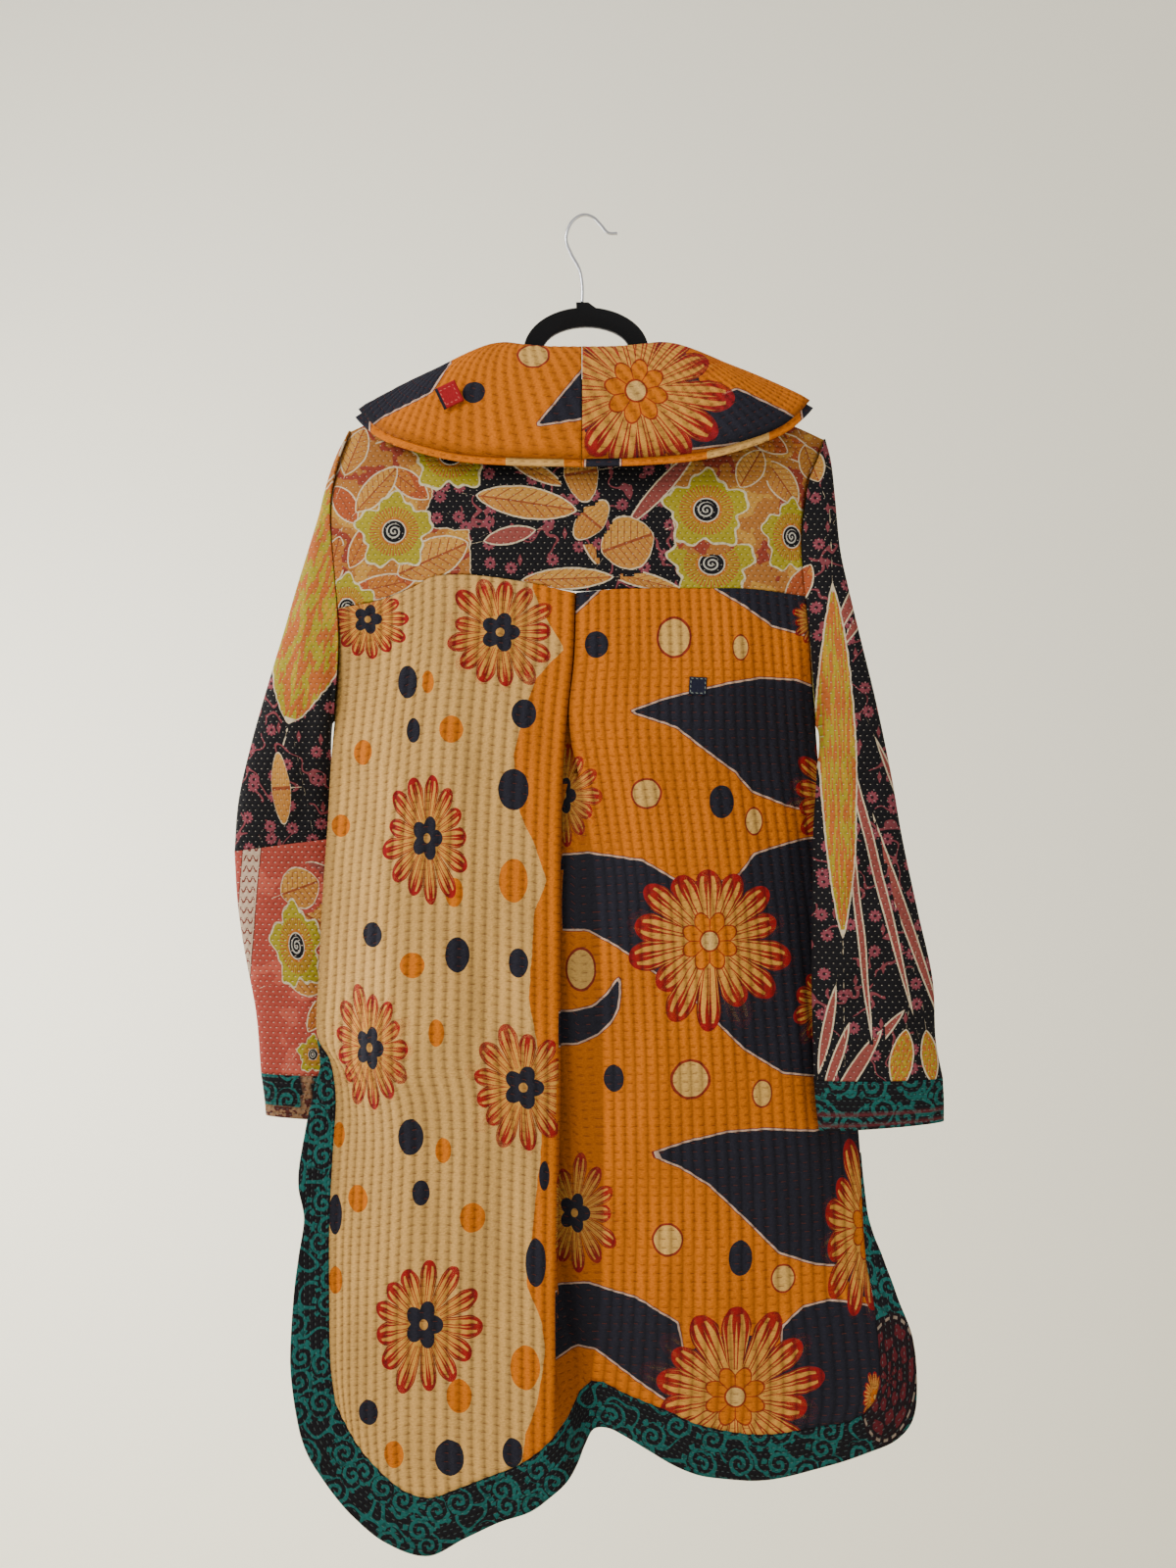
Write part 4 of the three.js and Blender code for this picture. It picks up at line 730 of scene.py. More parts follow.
# Flowers on the dark print: x, z, half width, half height
OLIVE_FLOWERS = [
    (-183, -318, 39, 39), (-128, -241, 42, 40), (121, -297, 43, 40), (126, -350, 44, 38),
    (205, -322, 30, 38), (-230, -392, 30, 34), (-292, -700, 26, 40),
]
# Leaves as x, z, half length, half width, turn; those first in the list lie on top
OCHRE_LEAVES = [
    (-54, -291, 50, 16, -9), (-1, -262, 17, 30, 10), (9, -308, 14, 24, -40),
    (44, -330, 27, 27, 20), (-14, -365, 45, 11, 2), (58, -366, 40, 8, -14),
    (-46, -260, 32, 8, -28), (-145, -345, 38, 20, 24), (12, -335, 26, 9, -62),
    (165, -255, 22, 14, 60), (196, -268, 26, 14, -55), (158, -392, 30, 10, 10),
    (-201, -276, 30, 13, 48), (-224, -236, 26, 14, 70), (-300, -568, 10, 36, 4),
    (-277, -752, 22, 26, 20), (-196, -214, 26, 12, 35), (226, -248, 20, 13, -70),
]
PEACH_LEAVES = [
    (-215, -330, 26, 11, 62), (-196, -372, 36, 12, 12), (-170, -270, 26, 12, -38),
    (-232, -290, 22, 12, -60), (212, -372, 26, 12, 62), (180, -225, 26, 12, -30),
    (-245, -350, 30, 13, 74), (-150, -215, 26, 11, -20), (-250, -250, 26, 12, 60),
    (206, -232, 30, 12, -28),
]
STREAKED_LEAVES = [
    (-257, -378, 131, 46, 75), (247, -540, 172, 17, 91), (306, -828, 30, 12, 82),
    (334, -826, 26, 9, 98), (-250, -640, 20, 12, 30),
]
PINK_STEMS = [
    (78, -275, 52, 8, 48), (62, -292, 50, 5, 52), (-70, -323, 26, 9, 12),
    (281, -640, 150, 5, -76), (296, -655, 160, 6, -70), (318, -600, 90, 5, -66),
    (266, -700, 110, 4, -84), (262, -385, 46, 6, 64), (271, -400, 40, 5, 58),
    (290, -470, 44, 7, -72), (262, -838, 46, 7, 58), (244, -830, 40, 5, 72),
    (286, -805, 34, 5, 48), (-296, -462, 40, 5, -80), (-285, -440, 22, 5, 10),
    (-300, -420, 44, 4, 70), (236, -800, 44, 5, 80),
]
SLEEVE_AMBER = [[(-300, -190), (-200, -190), (-200, -330), (-300, -345)]]
# Motifs with their turn and kind: x, z, half width, half height, turn, kind
PAISLEY = [(297, -1140, 28, 62, -8, 4)]
CORAL_LEAVES = [
    (-283, -668, 20, 22, 20, 0), (-268, -700, 18, 24, -30, 0), (-270, -745, 24, 12, 30, 1),
    (-262, -790, 26, 10, 60, 1), (-262, -655, 20, 10, -40, 3),
]
CORAL_FLOWERS = [(-286, -726, 26, 46, 8, 3), (-270, -835, 16, 20, 0, 3)]
COLLAR_DAISY = [(52, -186, 92, 100, 12, 2)]
COLLAR_SPOTS = [(-104, -187, 11, 11, 0, 0), (-47, -149, 15, 13, 0, 2)]
# Stands for a print that a piece doesn't show: out of the coat's reach, of no kind
NO_MOTIF = [(0, 500, 10, 10, 0, 9)]
# The scroll strip's place at its top, x and z, and how far it leans on the way down
SCROLL_STRIP = (-331, -632, 0.1)
# The cuffs: height of their waves, wine lines of the right one as fractions of its height and
# their width, and where the brown band and the brown strip of the left one lie
CUFF_WAVE = 0.3
CUFF_LINES = (0.68, 0.9)
CUFF_LINE_WIDTH = 0.03
CUFF_BROWN_FROM = 0.72
CUFF_STRIP_X = -276
CUFF_STRIP_HALF = 4.5
# The strips under the collar: their gap to it and how much of them shows
UNDER_COLLAR = (2.7, 7)
# Small patches as x, z and turn
DARK_PATCH = (112, -469, 0.05)
RED_PATCH = (-127, -191, -0.45)


# Meshes
def new_object(name, data):
    """An object linked to the scene."""
    made = bpy.data.objects.new(name, data)
    bpy.context.scene.collection.objects.link(made)
    return made


def mesh_of(name, bm):
    """The mesh that a bmesh leaves behind."""
    mesh = bpy.data.meshes.new(name)
    bm.to_mesh(mesh)
    bm.free()
    return mesh


def add_uv(mesh, label, places):
    layer = mesh.uv_layers.new(name=label)
    layer.data.foreach_set("uv", places.astype(np.float32).ravel())


def cloth_piece(
    name, grid, uv, *, floats=None, motifs=None, slots=(), wall_mm=1.8, closed=False, cut=None,
):
    """A sheet of cloth on a grid of middle points in millimetres.

    uv is the cloth's own place in metres, floats are values at the points, motifs are lists of
    printed motifs by layer name, and cut tells the two sides that no motif crosses between.
    The outer side looks along the grid's normals.
    """
    rows, cols = grid.shape[:2]
    bm = bmesh.new()
    bmesh.ops.create_grid(bm, x_segments=cols - 1, y_segments=rows - 1, size=1)
    mesh = mesh_of(name, bm)
    points = grid[::-1].reshape(-1, 3)
    mesh.vertices.foreach_set("co", (points * MM).astype(np.float32).ravel())
    corners = np.zeros(len(mesh.loops), int)
    mesh.loops.foreach_get("vertex_index", corners)
    places = np.stack([uv[0][::-1].ravel(), uv[1][::-1].ravel()], axis=-1)[corners]
    add_uv(mesh, "cloth", places)
    x, z = (points[corners][:, k].reshape(-1, 4) for k in (0, 2))
    for label, entries in (motifs or {}).items():
        across, up, owner = local_places(x, z, x.mean(1), z.mean(1), entries)
        if cut:
            centres = np.array([entry[:2] for entry in entries])
            sides = cut(centres[:, 0], centres[:, 1])
            across[sides[owner] != cut(x.mean(1), z.mean(1))] = HIDDEN_PLACE
        add_uv(mesh, label, np.stack([across, up], -1))
        kind_and_half = np.array([(m[5], m[3]) for m in entries], np.float32)[owner]
        add_uv(mesh, label + "_kind", np.repeat(kind_and_half[:, None, :], 4, axis=1))
    for label, values in (floats or {}).items():
        layer = mesh.attributes.new(label, "FLOAT", "POINT")
        layer.data.foreach_set("value", values[::-1].astype(np.float32).ravel())
    mesh.shade_smooth()
    if closed:
        bm = bmesh.new()
        bm.from_mesh(mesh)
        bmesh.ops.remove_doubles(bm, verts=bm.verts, dist=1e-5)
        bm.to_mesh(mesh)
        bm.free()
    piece = new_object(name, mesh)
    for slot in slots:
        mesh.materials.append(slot)
    wall = piece.modifiers.new("wall", "SOLIDIFY")
    wall.thickness = wall_mm * MM
    wall.offset = 0
    wall.material_offset = len(slots) - 1
    wall.material_offset_rim = 0
    return piece


def cloth_size(grid, is_tube):
    """The width and length that the cloth is cut from, and its area, in metres.

    A sleeve's rings slant, so its width is the one that its area gives.
    """
    across = np.linalg.norm(np.diff(grid, axis=1), axis=2).sum(1)
    down = np.linalg.norm(np.diff(grid, axis=0), axis=2).sum(0)
    a = np.diff(grid, axis=1)[:-1]
    b = np.diff(grid, axis=0)[:, :-1]
    area = np.linalg.norm(np.cross(a, b), axis=2).sum()
    width = area / down.mean() if is_tube else across.max()
    return width * MM, down.max() * MM, area * MM * MM


def arc_uv(grid):
    """Arc lengths across and down a grid, in metres."""
    across = np.linalg.norm(np.diff(grid, axis=1), axis=2).cumsum(1)
    down = np.linalg.norm(np.diff(grid, axis=0), axis=2).cumsum(0)
    u = np.concatenate([across[:, :1] * 0, across], axis=1)
    v = np.concatenate([down[:1] * 0, down], axis=0)
    u = u - u.mean(axis=1, keepdims=True)
    return u * MM, -v * MM


def declare_sheet(piece, node, grid, is_tube=False):
    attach(piece, "root")
    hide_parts(node)
    width, length, area = cloth_size(grid, is_tube)
    print(f"cut {piece.name}: {width:.3f} x {length:.3f} m, {area:.4f} m2")
    min(area, width * length)


def panel(name, node, finish, grid, uv, rests_on, *, shown=None, is_tube=False, **prints):
    """A lined panel of the coat; shown is the grid with its ribs puffed out."""
    piece = cloth_piece(
        name, grid if shown is None else shown, uv, closed=is_tube,
        slots=(material(finish), material("lining")),
        wall_mm=bpy.context.scene.coat_sizes.wall / MM, **prints,
    )
    declare_sheet(piece, node, grid, is_tube=is_tube)
    return piece


# Finishes
CLOTH_SPECULAR = 0.18

# Fixed shades, as red, green and blue seen on a screen
# Of the daisies
DAISY_HEART = (188, 126, 52)
PETAL = (208, 144, 58)
PETAL_LINE = (150, 26, 22)
PETAL_RIM = (132, 28, 22)
PETAL_TIP = (150, 18, 22)
SMALL_EYE = (196, 140, 66)
LOBE_LINE = (150, 50, 20)
LARGE_EYE = (214, 168, 92)
# Of the quilted print
SHAPE_RIM_DARK = (120, 40, 30)
SHAPE_RIM_PALE = (200, 164, 140)
SPOT_RIM = (140, 45, 25)
SPOT_PALE = (214, 165, 85)
RUST_THREAD = (92, 38, 20)
# Of the dark print
VINE = (132, 62, 68)
SPRIG = (140, 66, 76)
SPRIG_EYE = (40, 20, 26)
AMBER_RIM = (214, 190, 150)
AMBER = (176, 112, 50)
AMBER_LIGHT = (196, 142, 60)
AMBER_VEIN = (150, 62, 44)
WHITE_THREAD = (206, 196, 178)
# Of leaves and olive flowers
LEAF_RIM = (220, 200, 165)
OCHRE = (190, 128, 56)
OCHRE_LIGHT = (204, 146, 66)
PEACH = (192, 116, 48)
PEACH_DARK = (176, 84, 44)
STREAK_RUST = (190, 100, 42)
STREAK_GOLD = (198, 150, 40)
STEM_PINK = (150, 74, 66)
LEAF_VEIN = (150, 74, 40)
FLOWER_RIM = (214, 200, 160)
FLOWER_RAY = (180, 92, 40)
FLOWER_DISC = (186, 110, 36)
EYE_RIM = (210, 200, 180)
EYE_RING = (196, 190, 174)
# Of the border and cuffs
TEAL_DARK = (20, 74, 70)
PAISLEY_GROUND = (30, 16, 20)
PAISLEY_BEAD = (150, 130, 112)
PAISLEY_FIGURE = (92, 26, 32)
WINE_LINE = (110, 44, 48)
BROWN_BAND = (150, 112, 80)
BROWN_MARK = (84, 40, 34)
GREY_THREAD = (92, 108, 104)
# Of the coral print
CORAL_LIGHT = (192, 88, 70)
STRIP_EDGE = (110, 50, 44)
STRIP_PALE = (206, 176, 148)
STRIP_SCROLL = (128, 62, 52)
PINK_THREAD = (214, 190, 170)
# Of the lining, patches and hanger
LINING_OLIVE = (150, 140, 62)
LINING_RUST = (172, 128, 74)
PALE_THREAD = (214, 202, 176)
PATCH_EDGE = (28, 26, 34)
PATCH_NAVY = (26, 28, 44)
PATCH_GREY = (120, 130, 120)
PATCH_ROSE = (190, 90, 80)
FLOCK_BLACK = (14, 14, 15)
WIRE_GREY = (205, 205, 208)


def new_node(tree, kind, *inputs, **settings):
    """A shader node; its inputs are given in their order, as numbers, values or sockets."""
    node = tree.nodes.new(f"ShaderNode{kind}")
    for name, setting in settings.items():
        setattr(node, name, setting)
    for socket, value in zip(node.inputs, inputs):
        if isinstance(value, Value):
            tree.links.new(value.socket, socket)
        elif isinstance(value, bpy.types.NodeSocket):
            tree.links.new(value, socket)
        elif value is not None:
            socket.default_value = value
    return node


class Value:
    """A number in a material that can be reckoned with."""

    def __init__(self, tree, socket):
        self.tree = tree
        self.socket = socket

    def math(self, operation, *others):
        node = new_node(self.tree, "Math", self, *others, operation=operation)
        return Value(self.tree, node.outputs[0])

    __add__ = __radd__ = partialmethod(math, "ADD")
    __sub__ = partialmethod(math, "SUBTRACT")
    __mul__ = __rmul__ = partialmethod(math, "MULTIPLY")
    __truediv__ = partialmethod(math, "DIVIDE")
    abs = partialmethod(math, "ABSOLUTE")
    sin = partialmethod(math, "SINE")
    fract = partialmethod(math, "FRACT")
    floor = partialmethod(math, "FLOOR")
    power = partialmethod(math, "POWER")
    min = partialmethod(math, "MINIMUM")
    max = partialmethod(math, "MAXIMUM")
    root = partialmethod(math, "SQRT")
    below = partialmethod(math, "LESS_THAN")

    def __rsub__(self, other):
        return self * -1.0 + other

    def __rtruediv__(self, other):
        return self.power(-1.0) * other

    def above(self, edge):
        return 1.0 - self.below(edge)

    def is_near(self, other, reach=0.5):
        return (self - other).abs().below(reach)

    def ramp(self, start, end):
        """0 at start and 1 at end."""
        node = new_node(
            self.tree, "MapRange", self, start, end, interpolation_type="SMOOTHSTEP"
        )
        return Value(self.tree, node.outputs["Result"])


class Finish:
    """A material whose colour is painted in layers."""

    def __init__(self, name, base, roughness=0.85):
        self.material = bpy.data.materials.new(name)
        self.material.use_nodes = True
        self.tree = self.material.node_tree
        self.shader = self.tree.nodes["Principled BSDF"]
        self.shader.inputs["Roughness"].default_value = roughness
        self.shader.inputs["Base Color"].default_value = linear(base)
        self.shader.inputs["Specular IOR Level"].default_value = CLOTH_SPECULAR
        self.colour = None
        self.base = base

    def value(self, output, kind, *inputs, **settings):
        """A named output of a new node."""
        return Value(self.tree, new_node(self.tree, kind, *inputs, **settings).outputs[output])

    def split(self, socket):
        node = new_node(self.tree, "SeparateXYZ", socket)
        return [Value(self.tree, output) for output in node.outputs]

    def uv(self, layer):
        return self.split(self.value("UV", "UVMap", uv_map=layer))[:2]

    def place(self):
        """The point's place on the object, in metres."""
        return self.split(self.value("Object", "TexCoord"))

    def attribute(self, name):
        return self.value("Fac", "Attribute", attribute_name=name)

    def vector(self, x, y, z=0.0):
        return self.value("Vector", "CombineXYZ", x, y, z)

    def noise(self, vector, scale, detail=2.0):
        return self.value("Fac", "TexNoise", vector, None, scale, detail)

    def cells(self, x, y, scale):
        """Scattered cells: the place in the nearest one and a random number for it."""
        node = new_node(
            self.tree, "TexVoronoi", self.vector(x, y), None, scale, voronoi_dimensions="2D"
        )
        centre = self.split(node.outputs["Position"])
        chance = self.split(node.outputs["Color"])[0]
        return x - centre[0], y - centre[1], chance

    def random(self, value):
        return self.value("Value", "TexWhiteNoise", None, value, noise_dimensions="1D")

    def angle(self, x, y):
        return y.math("ARCTAN2", x)

    def mix(self, factor, top, **settings):
        """Lays a colour over the present one."""
        node = new_node(self.tree, "Mix", data_type="RGBA", **settings)
        below = linear(self.base) if self.colour is None else self.colour
        for name, given in (("Factor", factor), ("A", below), ("B", top)):
            if isinstance(given, Value):
                self.tree.links.new(given.socket, node.inputs[name])
            else:
                node.inputs[name].default_value = given
        self.colour = Value(self.tree, node.outputs["Result"])

    def paint(self, mask, colour):
        """Lays a colour over what is there, as far as the mask says."""
        self.mix(mask, linear(colour))

    def shade(self, value):
        """Multiplies the colour by a value."""
        self.mix(1.0, self.vector(value, value, value), blend_type="MULTIPLY")

    def finish(self, height=None, depth_mm=1.0):
        if self.colour is not None:
            self.tree.links.new(self.colour.socket, self.shader.inputs["Base Color"])
        if height is not None:
            node = new_node(self.tree, "Bump")
            node.inputs["Distance"].default_value = depth_mm * MM
            self.tree.links.new(height.socket, node.inputs["Height"])
            self.tree.links.new(node.outputs["Normal"], self.shader.inputs["Normal"])
        return self.material


def linear(colour):
    """A screen colour of 0 to 255, or of 0 to 1, as Blender's own red, green, blue, alpha."""
    top = 255 if max(colour[:3]) > 1 else 1
    parts = [channel / top for channel in colour[:3]]
    return [((c + 0.055) / 1.055) ** 2.4 if c > 0.04045 else c / 12.92 for c in parts] + [1.0]


def daisy(finish, colours):
    """Daisies on the pale cloth, and large ones on the bright cloth and in the dark shapes."""
    x, y = finish.uv("motif")
    kind, half_mm = finish.uv("motif_kind")
    large = kind.is_near(2.0)
    small = 1.0 - large
    radius = (x * x + y * y).root()
    turn = finish.angle(x, y) / (2 * math.pi) + 0.5
    count = 13.0 + large
    sector = turn * count
    number = sector.floor()
    chance = finish.random(number + 0.37 * half_mm)
    along = radius / (0.78 + 0.28 * chance)
    side = (sector.fract() - 0.5 + 0.16 * (chance - 0.5)).abs()
    across = side * radius * (2 * math.pi) / count
    past = ((along - 0.76) / 0.24).max(0.0)
    taper = (along / 0.76).min(1.0) * 0.7 + 0.3
    width = (0.142 + 0.03 * finish.random(number + 5.5)) * taper
    width = width * (1.0 - past * past).max(0.0).root()
    share = across / width.max(0.001)
    petal = share.below(1.0) * along.below(1.0)
    finish.paint(radius.below(0.4), DAISY_HEART)
    wedge = large * radius.below(0.68) * radius.above(0.3)
    finish.paint(wedge, colours.navy)
    finish.paint(petal, PETAL)
    redder = along.ramp(0.55, 1.0) * 1.2
    lines = (share * 11.0).sin().above(0.84 - redder)
    finish.paint(petal * lines * along.above(0.3), PETAL_LINE)
    finish.paint(petal * share.above(0.87) * along.above(0.28), PETAL_RIM)
    finish.paint(petal * along.above(0.91), PETAL_TIP)
    folds = (turn * (5 * math.pi)).sin().abs()
    finish.paint(small * radius.below(0.22 + 0.12 * folds), colours.navy)
    finish.paint(small * radius.below(0.075), SMALL_EYE)
    big_folds = (turn * (8 * math.pi)).sin().abs()
    lobes = large * radius.below(0.22 + 0.1 * big_folds)
    finish.paint(large * radius.below(0.24 + 0.1 * big_folds), LOBE_LINE)
    finish.paint(lobes, colours.orange)
    finish.paint(lobes * big_folds.below(0.13), LOBE_LINE)
    finish.paint(large * radius.below(0.12), LOBE_LINE)
    finish.paint(large * radius.below(0.1), LARGE_EYE)


def running_stitch(finish, u, v, row_mm, step_mm, dash_mm, thread_mm, noise, centred=False):
    """Rows of short stitches on the cloth: 1 on the thread."""
    row = v / (row_mm * MM) + 0.14 * (noise - 0.5)
    number = row.floor()
    away = (row.fract() - 0.5).abs() * row_mm
    slip = 0.16 * (finish.random(number) - 0.5) if centred else number * 0.5
    step = u / (step_mm * MM) + slip + 0.2 * (noise - 0.5)
    along = (step.fract() - 0.5).abs()
    along = (0.5 - along if centred else along) * step_mm
    return away.below(thread_mm / 2) * along.below(dash_mm / 2), away, along


def sewn_print(finish, lights, weave, fuzz, u, v, stitch_mm, thread, cover, ends_mm, depth_mm):
    """Shades a print, lays stitches over it and puckers the cloth along them."""
    finish.shade(lights * (0.88 + 0.24 * weave))
    stitch, row_away, dash_away = running_stitch(finish, u, v, *stitch_mm, fuzz)
    finish.paint(stitch * cover, thread)
    row_end, dash_start, dash_end = ends_mm
    pucker = (1.0 - row_away.ramp(0.0, row_end)) * (1.0 - dash_away.ramp(dash_start, dash_end))
    return finish.finish(0.3 * weave + 0.7 * fuzz - 1.2 * pucker, depth_mm)


def quilted_print(name, colours, sizes):
    """Printed cotton with close rows of running stitch: cream, orange and dark shapes."""
    finish = Finish(name, colours.orange)
    x, _, z = finish.place()
    u, v = finish.uv("cloth")
    flat = finish.vector(x, z)
    fuzz = finish.noise(flat, 90.0)
    weave = finish.noise(finish.vector(x, z * 2.2), 330.0)
    patchy = finish.noise(finish.vector(x * 2.0, z * 0.6), 14.0)
    pale = finish.attribute("pale") + 2.0 * (fuzz - 0.5)
    dark = finish.attribute("dark") + 1.6 * (fuzz - 0.5)
    is_pale = pale.below(0.0)
    finish.paint(is_pale, colours.cream)
    orange = 1.0 - is_pale
    sx, sy = finish.uv("spot")
    kind = finish.uv("spot_kind")[0]
    away = (sx * sx + sy * sy).root() + 0.1 * (fuzz - 0.5)
    spot = away.below(1.0)
    ring = away.below(1.07) * kind.is_near(2.0)
    edge_line = orange * dark.below(2.5)
    finish.paint(edge_line, SHAPE_RIM_DARK)
    finish.paint(orange * dark.below(1.8), SHAPE_RIM_PALE)
    finish.paint(dark.below(0.0), colours.navy)
    finish.paint(ring, SPOT_RIM)
    finish.paint(spot * kind.is_near(0.0), colours.navy)
    finish.paint(spot * kind.is_near(1.0), colours.orange)
    finish.paint(away.below(0.93) * kind.is_near(2.0), SPOT_PALE)
    daisy(finish, colours)
    rib = finish.attribute("rib")
    stitch, row_away, dash_away = running_stitch(
        finish, u, v, sizes.stitch_row * 1000, RIB_PITCH, 3.9, 0.6, fuzz, centred=True
    )
    pucker = (1.0 - row_away.ramp(0.0, 2.6)) * (1.0 - dash_away.ramp(1.6, 4.6))
    # Painted shade and highlight: the cloth is darker in the valleys between the ribs and wherever
    # little of a rib shows, as in the pleat and near the panels' edges, and lighter on the ribs'
    # crests.
    painted_rib_shade = 0.5 + 0.46 * rib * (0.7 + 0.6 * patchy)
    finish.shade(painted_rib_shade * (0.84 + 0.32 * patchy) * (0.62 + 0.76 * weave))
    # Painted shade: the cloth is darker in the puckers along the rows of stitches.
    finish.shade(1.0 - 0.1 * pucker)
    finish.paint(stitch * 0.7, RUST_THREAD)
    return finish.finish(1.2 * weave + 0.4 * fuzz - 0.8 * pucker, 0.9)


def dark_print(name, colours):
    """Printed cotton with flowers and leaves on black, stitched with white thread."""
    finish = Finish(name, colours.black)
    x, _, z = finish.place()
    flat = finish.vector(x, z)
    fuzz = finish.noise(flat, 110.0)
    weave = finish.noise(flat, 900.0, 1.0)
    patchy = finish.noise(flat, 22.0, 3.0)
    vine = (finish.noise(flat, 34.0, 1.0) - 0.5).abs().below(0.016)
    broken = finish.noise(flat, 21.0, 1.0).above(0.5)
    cx, cy, chance = finish.cells(x, z, 46.0)
    reach = (cx * cx + cy * cy).root()
    petals = reach / (0.65 + 0.35 * (finish.angle(cx, cy) * 5.0).sin().abs())
    sprig = petals.below(0.0062) * chance.above(0.45)
    leaflet = (cx.abs() * 2.6 + cy.abs()).below(0.006) * chance.below(0.3)
    finish.paint(((vine * broken) + leaflet).min(1.0), VINE)
    finish.paint(sprig, SPRIG)
    finish.paint(petals.below(0.0018) * chance.above(0.45), SPRIG_EYE)
    amber = finish.attribute("amber") + 6.0 * (fuzz - 0.5)
    finish.paint(amber.below(1.2), AMBER_RIM)
    finish.paint(amber.below(0.0), AMBER)
    finish.paint(amber.below(0.0) * patchy.above(0.56), AMBER_LIGHT)
    finish.paint(amber.below(0.0) * (patchy - 0.42).abs().below(0.035), AMBER_VEIN)
    for layer in ("leaf", "leaf_top"):
        leaves(finish, layer, fuzz, patchy, colours)
    olive_flower(finish, fuzz, colours)
    return sewn_print(
        finish, 0.6 + 0.34 * patchy, weave, fuzz, x, z, (5.2, 6.6, 1.1, 0.65),
        WHITE_THREAD, 0.55, (2.2, 0.2, 3.2), 0.8,
    )


def leaves(finish, layer, fuzz, patchy, colours):
    """Leaves with a pale outline and veins; the kind picks the colouring."""
    x, y = finish.uv(layer)
    kind, half_mm = finish.uv(layer + "_kind")
    body = (1.0 - x * x).max(0.0).power(0.75)
    side = y.abs() + 0.12 * (fuzz - 0.5)
    inside = side.below(body)
    rim = 1.5 / half_mm
    leaf = side.below((body - rim).max(0.0)) * x.abs().below(0.95)
    finish.paint(inside, LEAF_RIM)
    finish.paint(leaf * kind.is_near(0.0), OCHRE)
    finish.paint(leaf * kind.is_near(0.0) * y.above(0.0), OCHRE_LIGHT)
    finish.paint(leaf * kind.is_near(1.0), PEACH)
    finish.paint(leaf * kind.is_near(1.0) * patchy.above(0.52), PEACH_DARK)
    streak = finish.noise(finish.vector(x * 2.6, y * 4.5), 1.6, 3.0)
    finish.paint(leaf * kind.is_near(2.0), colours.olive)
    finish.paint(leaf * kind.is_near(2.0) * streak.above(0.5), STREAK_RUST)
    finish.paint(leaf * kind.is_near(2.0) * streak.below(0.4), STREAK_GOLD)
    finish.paint(leaf * kind.is_near(3.0), STEM_PINK)
    veins = ((x * 4.0 - y.abs() * 1.5).fract() - 0.5).abs().below(0.06) + y.abs().below(0.05)
    marked = leaf * (kind.below(1.5)) * veins.min(1.0) * side.below(body * 0.8)
    finish.paint(marked, LEAF_VEIN)


def olive_flower(finish, fuzz, colours):
    """Olive flowers with red rays and a dark ringed centre."""
    x, y = finish.uv("motif")
    radius = (x * x + y * y).root()
    turn = finish.angle(x, y)
    wavy = 0.84 + 0.13 * (turn * 5.0).sin() + 0.05 * (turn * 13.0 + 1.0).sin() + 0.1 * (fuzz - 0.5)
    finish.paint(radius.below(wavy + 0.06), FLOWER_RIM)
    finish.paint(radius.below(wavy), colours.olive)
    rays = (turn * 46.0).sin().above(0.2)
    finish.paint(radius.below(0.62) * rays, FLOWER_RAY)
    finish.paint(radius.below(0.36), FLOWER_DISC)
    finish.paint(radius.below(0.3), EYE_RIM)
    finish.paint(radius.below(0.27), colours.black)
    rings = ((radius * 62.0 + turn).sin()).above(0.35)
    finish.paint(radius.below(0.2) * rings, EYE_RING)


def teal_border(name, colours):
    """Black cotton printed with teal scrolls and small leaves."""
    finish = Finish(name, colours.black)
    x, _, z = finish.place()
    u, v = finish.uv("cloth")
    flat = finish.vector(x, z)
    fuzz = finish.noise(flat, 140.0)
    weave = finish.noise(flat, 900.0, 1.0)
    wide = finish.noise(flat, 26.0, 1.0)
    cx, cy, chance = finish.cells(x + 0.006 * wide, z + 0.006 * fuzz, 34.0)
    reach = (cx * cx + cy * cy).root()
    turn = finish.angle(cx, cy) / (2 * math.pi)
    side = chance.above(0.5) * 2.0 - 1.0
    coil = (reach * 125.0 + turn * side).fract()
    scroll = (coil - 0.5).abs().below(0.23 + 0.16 * (fuzz - 0.5)) * reach.below(0.0135)
    vine = (finish.noise(flat, 42.0, 0.0) - 0.5).abs().below(0.035) * reach.above(0.0125)
    leafy = (turn * (14 * math.pi)).sin().above(0.35) * reach.above(0.0115) * reach.below(0.0165)
    teal = (scroll + vine + leafy * chance.above(0.25)).min(1.0)
    finish.paint(teal, colours.teal)
    finish.paint(teal * fuzz.above(0.6), TEAL_DARK)
    sx, sy = finish.uv("spot")
    kind = finish.uv("spot_kind")[0]
    away = (sx * sx + sy * sy).root()
    bead = ((finish.angle(sx, sy) * 21.0).sin()).above(-0.1)
    on = kind.is_near(4.0)
    finish.paint(on * away.below(1.0), PAISLEY_GROUND)
    finish.paint(on * away.below(0.95) * away.above(0.9) * bead, PAISLEY_BEAD)
    figure = (away * 17.0 + 3.0 * fuzz).sin() * (finish.angle(sx, sy) * 6.0).sin()
    finish.paint(on * away.below(0.84) * figure.above(0.1), PAISLEY_FIGURE)
    wine = finish.attribute("wine")
    finish.paint(wine, WINE_LINE)
    brown = finish.attribute("brown")
    finish.paint(brown, BROWN_BAND)
    finish.paint(brown * fuzz.above(0.52), BROWN_MARK)
    return sewn_print(
        finish, 0.6 + 0.24 * wide, weave, fuzz, u, v, (BORDER_STITCH, BORDER_STITCH, 2.4, 0.7),
        GREY_THREAD, 0.45, (2.4, 0.4, 2.7), 0.9,
    )


